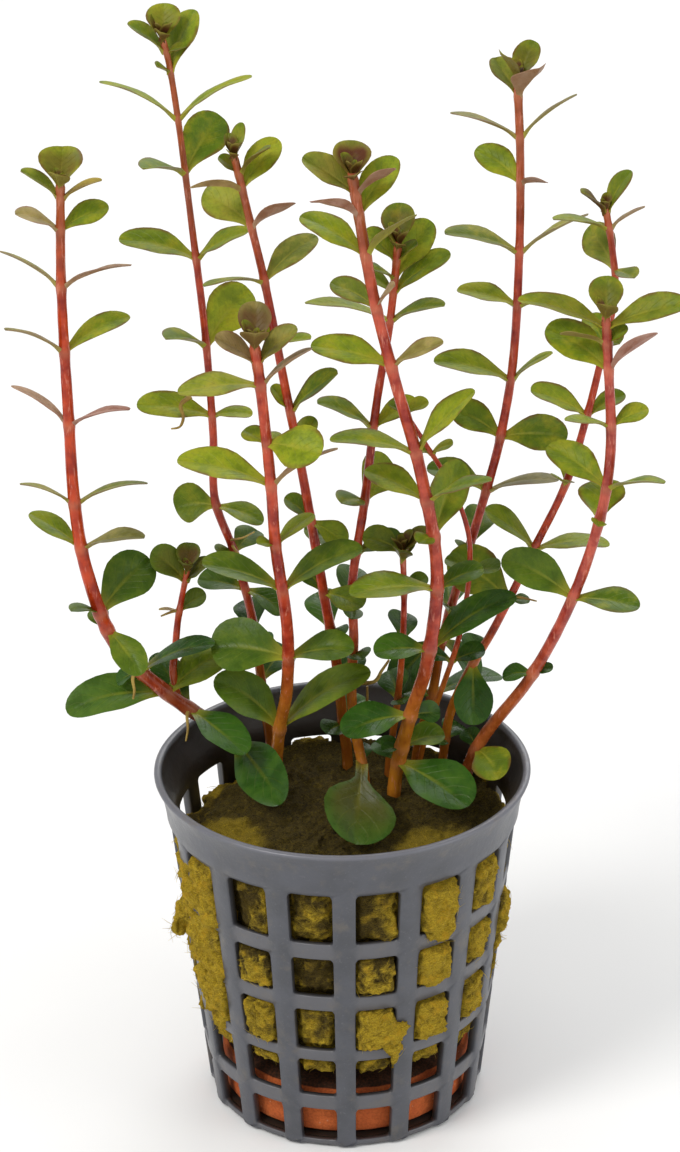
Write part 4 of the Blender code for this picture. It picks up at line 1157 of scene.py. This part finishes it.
def add_leaf(shape, foot, azimuth, leaf, width, mood, draw, cup):
    """One leaf blade as a thin closed skin: folded at its midrib, arched, a little wavy."""
    length, rise = leaf[:2]
    twist = math.radians((leaf[2] if len(leaf) > 2 else LEAF_TWIST) + draw.uniform(-4, 4))
    veer = draw.uniform(-14, 14)
    droop = draw.uniform(0.0, 7.0 + 13.0 * mood[0])
    fold = 0.16 + cup + draw.uniform(-0.06, 0.12)
    if twist < 0.0:
        fold *= 0.35
    narrow, broad = LEAF_FULLEST
    fullest = narrow + (broad - narrow) * ease(width / length, 0.4, 0.7)
    if len(leaf) > 4:
        fullest = leaf[4]
    wave = draw.uniform(0.02, 0.08)
    phase = draw.uniform(0, 6.28)
    tone = draw.uniform(0.0, 1.0)
    lean = math.sin(twist) if polar(1.0, azimuth, 0.0).x >= 0.0 else -math.sin(twist)
    point = foot.copy()
    reached = 0.0
    rings = []
    for share in (*LEAF_STATIONS, 1.0):
        turn = azimuth + veer * (share - 0.35)
        out = polar(1.0, turn, 0.0)
        level = polar(1.0, turn - 90.0, 0.0)
        arch = (LEAF_ARCH + cup * 20) * (0.5 - (share + reached) / 2)
        pitch = math.radians(rise + arch - droop * (ease(share, 0.45, 1.0) - 0.25))
        along = out * math.cos(pitch) + UP * math.sin(pitch)
        above = UP * math.cos(pitch) - out * math.sin(pitch)
        point = point + along * length * (share - reached)
        reached = share
        if share == 1.0:
            break
        over = above * math.cos(twist) + level * lean
        across = level * math.cos(twist) - above * lean
        half = max(width / 2 * leaf_spread(share, fullest), LEAF_STEM * fade(share, 0.1, 0.3))
        thick = LEAF_THICKNESS + LEAF_STEM_THICKNESS * fade(share, 0.0, 0.25)
        upper = []
        lower = []
        for column in LEAF_COLUMNS:
            side = abs(column)
            lift = fold * (side**1.25 - 0.45) + wave * math.sin(phase + share * 8.5) * column
            lift += 0.05 * (1.0 - (2.0 * side - 1.0) ** 2) - 0.05 * bell(side, 0.13)
            here = point + across * half * column + over * half * lift
            depth = thick * (0.35 + 0.65 * (1.0 - side**3))
            depth += (0.10 + 0.05 * half) * bell(side, 0.16) * (1.0 - share)
            upper.append(shape.add(here, (share, side, 1.0, tone), mood))
            lower.append(shape.add(here - over * depth, (share, side, 0.0, tone), mood))
        rings.append(upper + lower[::-1])
    tip = shape.add(point, (1.0, 0.0, 0.5, tone), mood)
    for corners in skin_faces(rings):
        shape.face(corners)
    for a, b in around(rings[-1]):
        shape.face((a, b, tip))
    base = rings[0]
    for i in range(len(LEAF_COLUMNS) - 1):
        shape.face((base[i + 1], base[i], base[-1 - i], base[-2 - i]))


def add_rod(shape, points, radii):
    """A tapered and withered twig through a few points."""
    path = [Vector(point) for point in points]
    count = len(path) - 1
    rings = []
    for step in range(count * ROD_STEPS + 1):
        i = min(step // ROD_STEPS, count - 1)
        a = step / ROD_STEPS - i
        before, here = path[max(i - 1, 0)], path[i]
        there, after = path[i + 1], path[min(i + 2, count)]
        curve = 0.5 * (
            2 * here + (there - before) * a + (2 * before - 5 * here + 4 * there - after) * a * a
            + (3 * here - before - 3 * there + after) * a**3
        )
        tangent = (there - here).normalized()
        side = tangent.cross(Vector((0.31, 0.95, 0.1))).normalized()
        radius = radii[0] + (radii[1] - radii[0]) * step / (count * ROD_STEPS)
        ring = circle(curve, side, tangent.cross(side), radius, ROD_SIDES)
        rings.append(shape.ring(ring, WITHERED_TINT, WITHERED_MOOD))
    shape.tube(rings)


def add_stem(shape, stem, draw):
    """The stem's smooth tube, swollen at its nodes."""
    route = stem.get("fork", []) + stem["route"]
    foot, tip = route[0][2], route[-1][2]
    knots = [pair[0] for pair in stem["pairs"]]
    tone = draw.uniform(0.0, 1.0)
    sizes = [draw.uniform(*KNOT_SWELL) for _ in knots]
    steps = int((tip - foot) / STEM_STEP)
    heights = {foot + (tip - foot) * i / steps for i in range(steps + 1)}
    heights |= {knot + off for knot in knots for off in KNOT_RINGS}
    rings = []
    for height in sorted(height for height in heights if height <= tip):
        tangent = shoot_point(route, height + 0.6) - shoot_point(route, height - 0.6)
        tangent.normalize()
        side = tangent.cross(Vector((0.0, 1.0, 0.0))).normalized()
        near = max(bell(height - knot, 0.7) for knot in knots)
        swollen = max(size * bell(height - knot, 0.8) for knot, size in zip(knots, sizes))
        radius = shoot_radius(stem, height) * (STEM_SLIMNESS + swollen)
        radius *= 1.0 + 0.06 * noise.noise(Vector((height * 0.5, tone * 9.0, 0.0)))
        if height > tip - 1.0:
            radius *= 0.75 + 0.25 * (tip - height)
        share = clamp((height - STEM_COLOUR_FOOT) / STEM_COLOUR_SPAN)
        middle = shoot_point(route, height)
        ring = circle(middle, side, tangent.cross(side), radius, STEM_SIDES)
        rings.append(shape.ring(ring, (share, near, *stem["hues"])))
    shape.tube(rings, 1)


def build_shoot(name, stem, surfaces):
    """One shoot: its stem, its leaf pairs, the small leaves of its bud, and withered bits."""
    draw = random.Random(name)
    shape = Shape()
    add_stem(shape, stem, draw)
    route = stem["route"]
    tip = route[-1][2]
    for height, azimuth, first, second, *looks in stem["pairs"]:
        low = fade(height, *LOW_COLOUR_HEIGHTS)
        young = ease(height, tip - 6.0, tip - 1.5)
        looks = looks[0] if looks else {}
        for index, leaf in enumerate((first, second)):
            glow, blush, dead = (looks.get(k, (0.0, 0.0))[index] for k in ("glow", "blush", "dead"))
            heart = looks["heart"][index] if "heart" in looks else 0.1 * young
            # The glow share lightens a leaf to the green of the upper leaves: painted light shining
            # through it.
            mood = (low * (1.0 - glow), blush, dead, heart)
            width = leaf[3] if len(leaf) > 3 else leaf_width(height, leaf[0])
            spot = (shoot_point(route, height), azimuth + 180.0 * index)
            add_leaf(shape, *spot, leaf, width, mood, draw, YOUNG_CUP * young)
    crown = Vector(route[-1]) - UP * BUD_DROP
    top_turn = stem["pairs"][-1][1] + BUD_TURN
    for length, rise, turn in BUD_LEAVES:
        length *= stem.get("bud", 1.0)
        leaf = (length, rise, 0.0)
        width = length * BUD_WIDTH_SHARE
        add_leaf(shape, crown, top_turn + turn, leaf, width, BUD_MOOD, draw, BUD_CUP)
    for points, radii in stem.get("withered", []):
        add_rod(shape, points, radii)
    made = shape.make(name + "_detailed", *surfaces)
    made.data.set_sharp_from_angle(angle=math.radians(LEAF_SHARP_ANGLE))
    return made


def build_stage():
    """Pale floor, soft lights and the camera."""
    scene = bpy.context.scene
    mesh = bpy.data.meshes.new("studio_floor")
    corners = [(x * FLOOR_REACH, y * FLOOR_REACH, 0) for x, y in SQUARE]
    mesh.from_pydata(corners, [], [(0, 1, 2, 3)])
    mesh.materials.append(floor_surface())
    ground = link("studio_floor", mesh)
    ground.location.z = -FLOOR_DROP
    world = bpy.data.worlds.new("studio")
    world.use_nodes = True
    background = world.node_tree.nodes["Background"]
    background.inputs["Color"].default_value = (1.0, 1.0, 1.0, 1.0)
    background.inputs["Strength"].default_value = SKY_STRENGTH
    scene.world = world
    for name, (place, size, power, colour) in LIGHTS.items():
        data = bpy.data.lights.new(name, "AREA")
        data.shape = "DISK"
        data.size = size
        data.energy = power
        data.color = colour
        light = link(name, data)
        light.location = place
        aim = Vector(LIGHT_TARGET) - light.location
        light.rotation_euler = aim.to_track_quat("-Z", "Y").to_euler()
    data = bpy.data.cameras.new("camera")
    data.sensor_fit = "AUTO"
    data.sensor_width = SENSOR_WIDTH
    data.lens = CAMERA_LENS
    data.clip_start = CLIP_START
    camera = link("camera", data)
    pitch = Matrix.Rotation(math.radians(CAMERA_PITCH), 4, "X")
    roll = Matrix.Rotation(math.radians(CAMERA_ROLL), 4, "Z")
    camera.matrix_world = Matrix.Translation(CAMERA_PLACE) @ pitch @ roll
    scene.camera = camera
    scene.view_settings.view_transform = "Standard"


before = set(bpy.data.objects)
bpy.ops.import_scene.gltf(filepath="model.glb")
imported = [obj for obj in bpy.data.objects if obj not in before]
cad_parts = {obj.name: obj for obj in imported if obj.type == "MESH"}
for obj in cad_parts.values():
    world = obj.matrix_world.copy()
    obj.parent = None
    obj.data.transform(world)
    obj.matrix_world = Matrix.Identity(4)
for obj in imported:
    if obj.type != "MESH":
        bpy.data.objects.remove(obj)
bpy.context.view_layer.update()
build_stage()
settle(build_pot(plastic_surface()), "plastic", "net_pot")
settle(build_wool(wool_surface()), "wool", "wool_plug")
settle(build_clay(clay_surface()), "clay", "clay_weight")
plant_surfaces = [leaf_surface(), stem_surface()]
for shoot_name, shoot in SHOOTS.items():
    settle(build_shoot(shoot_name, shoot, plant_surfaces), "plant", shoot_name)
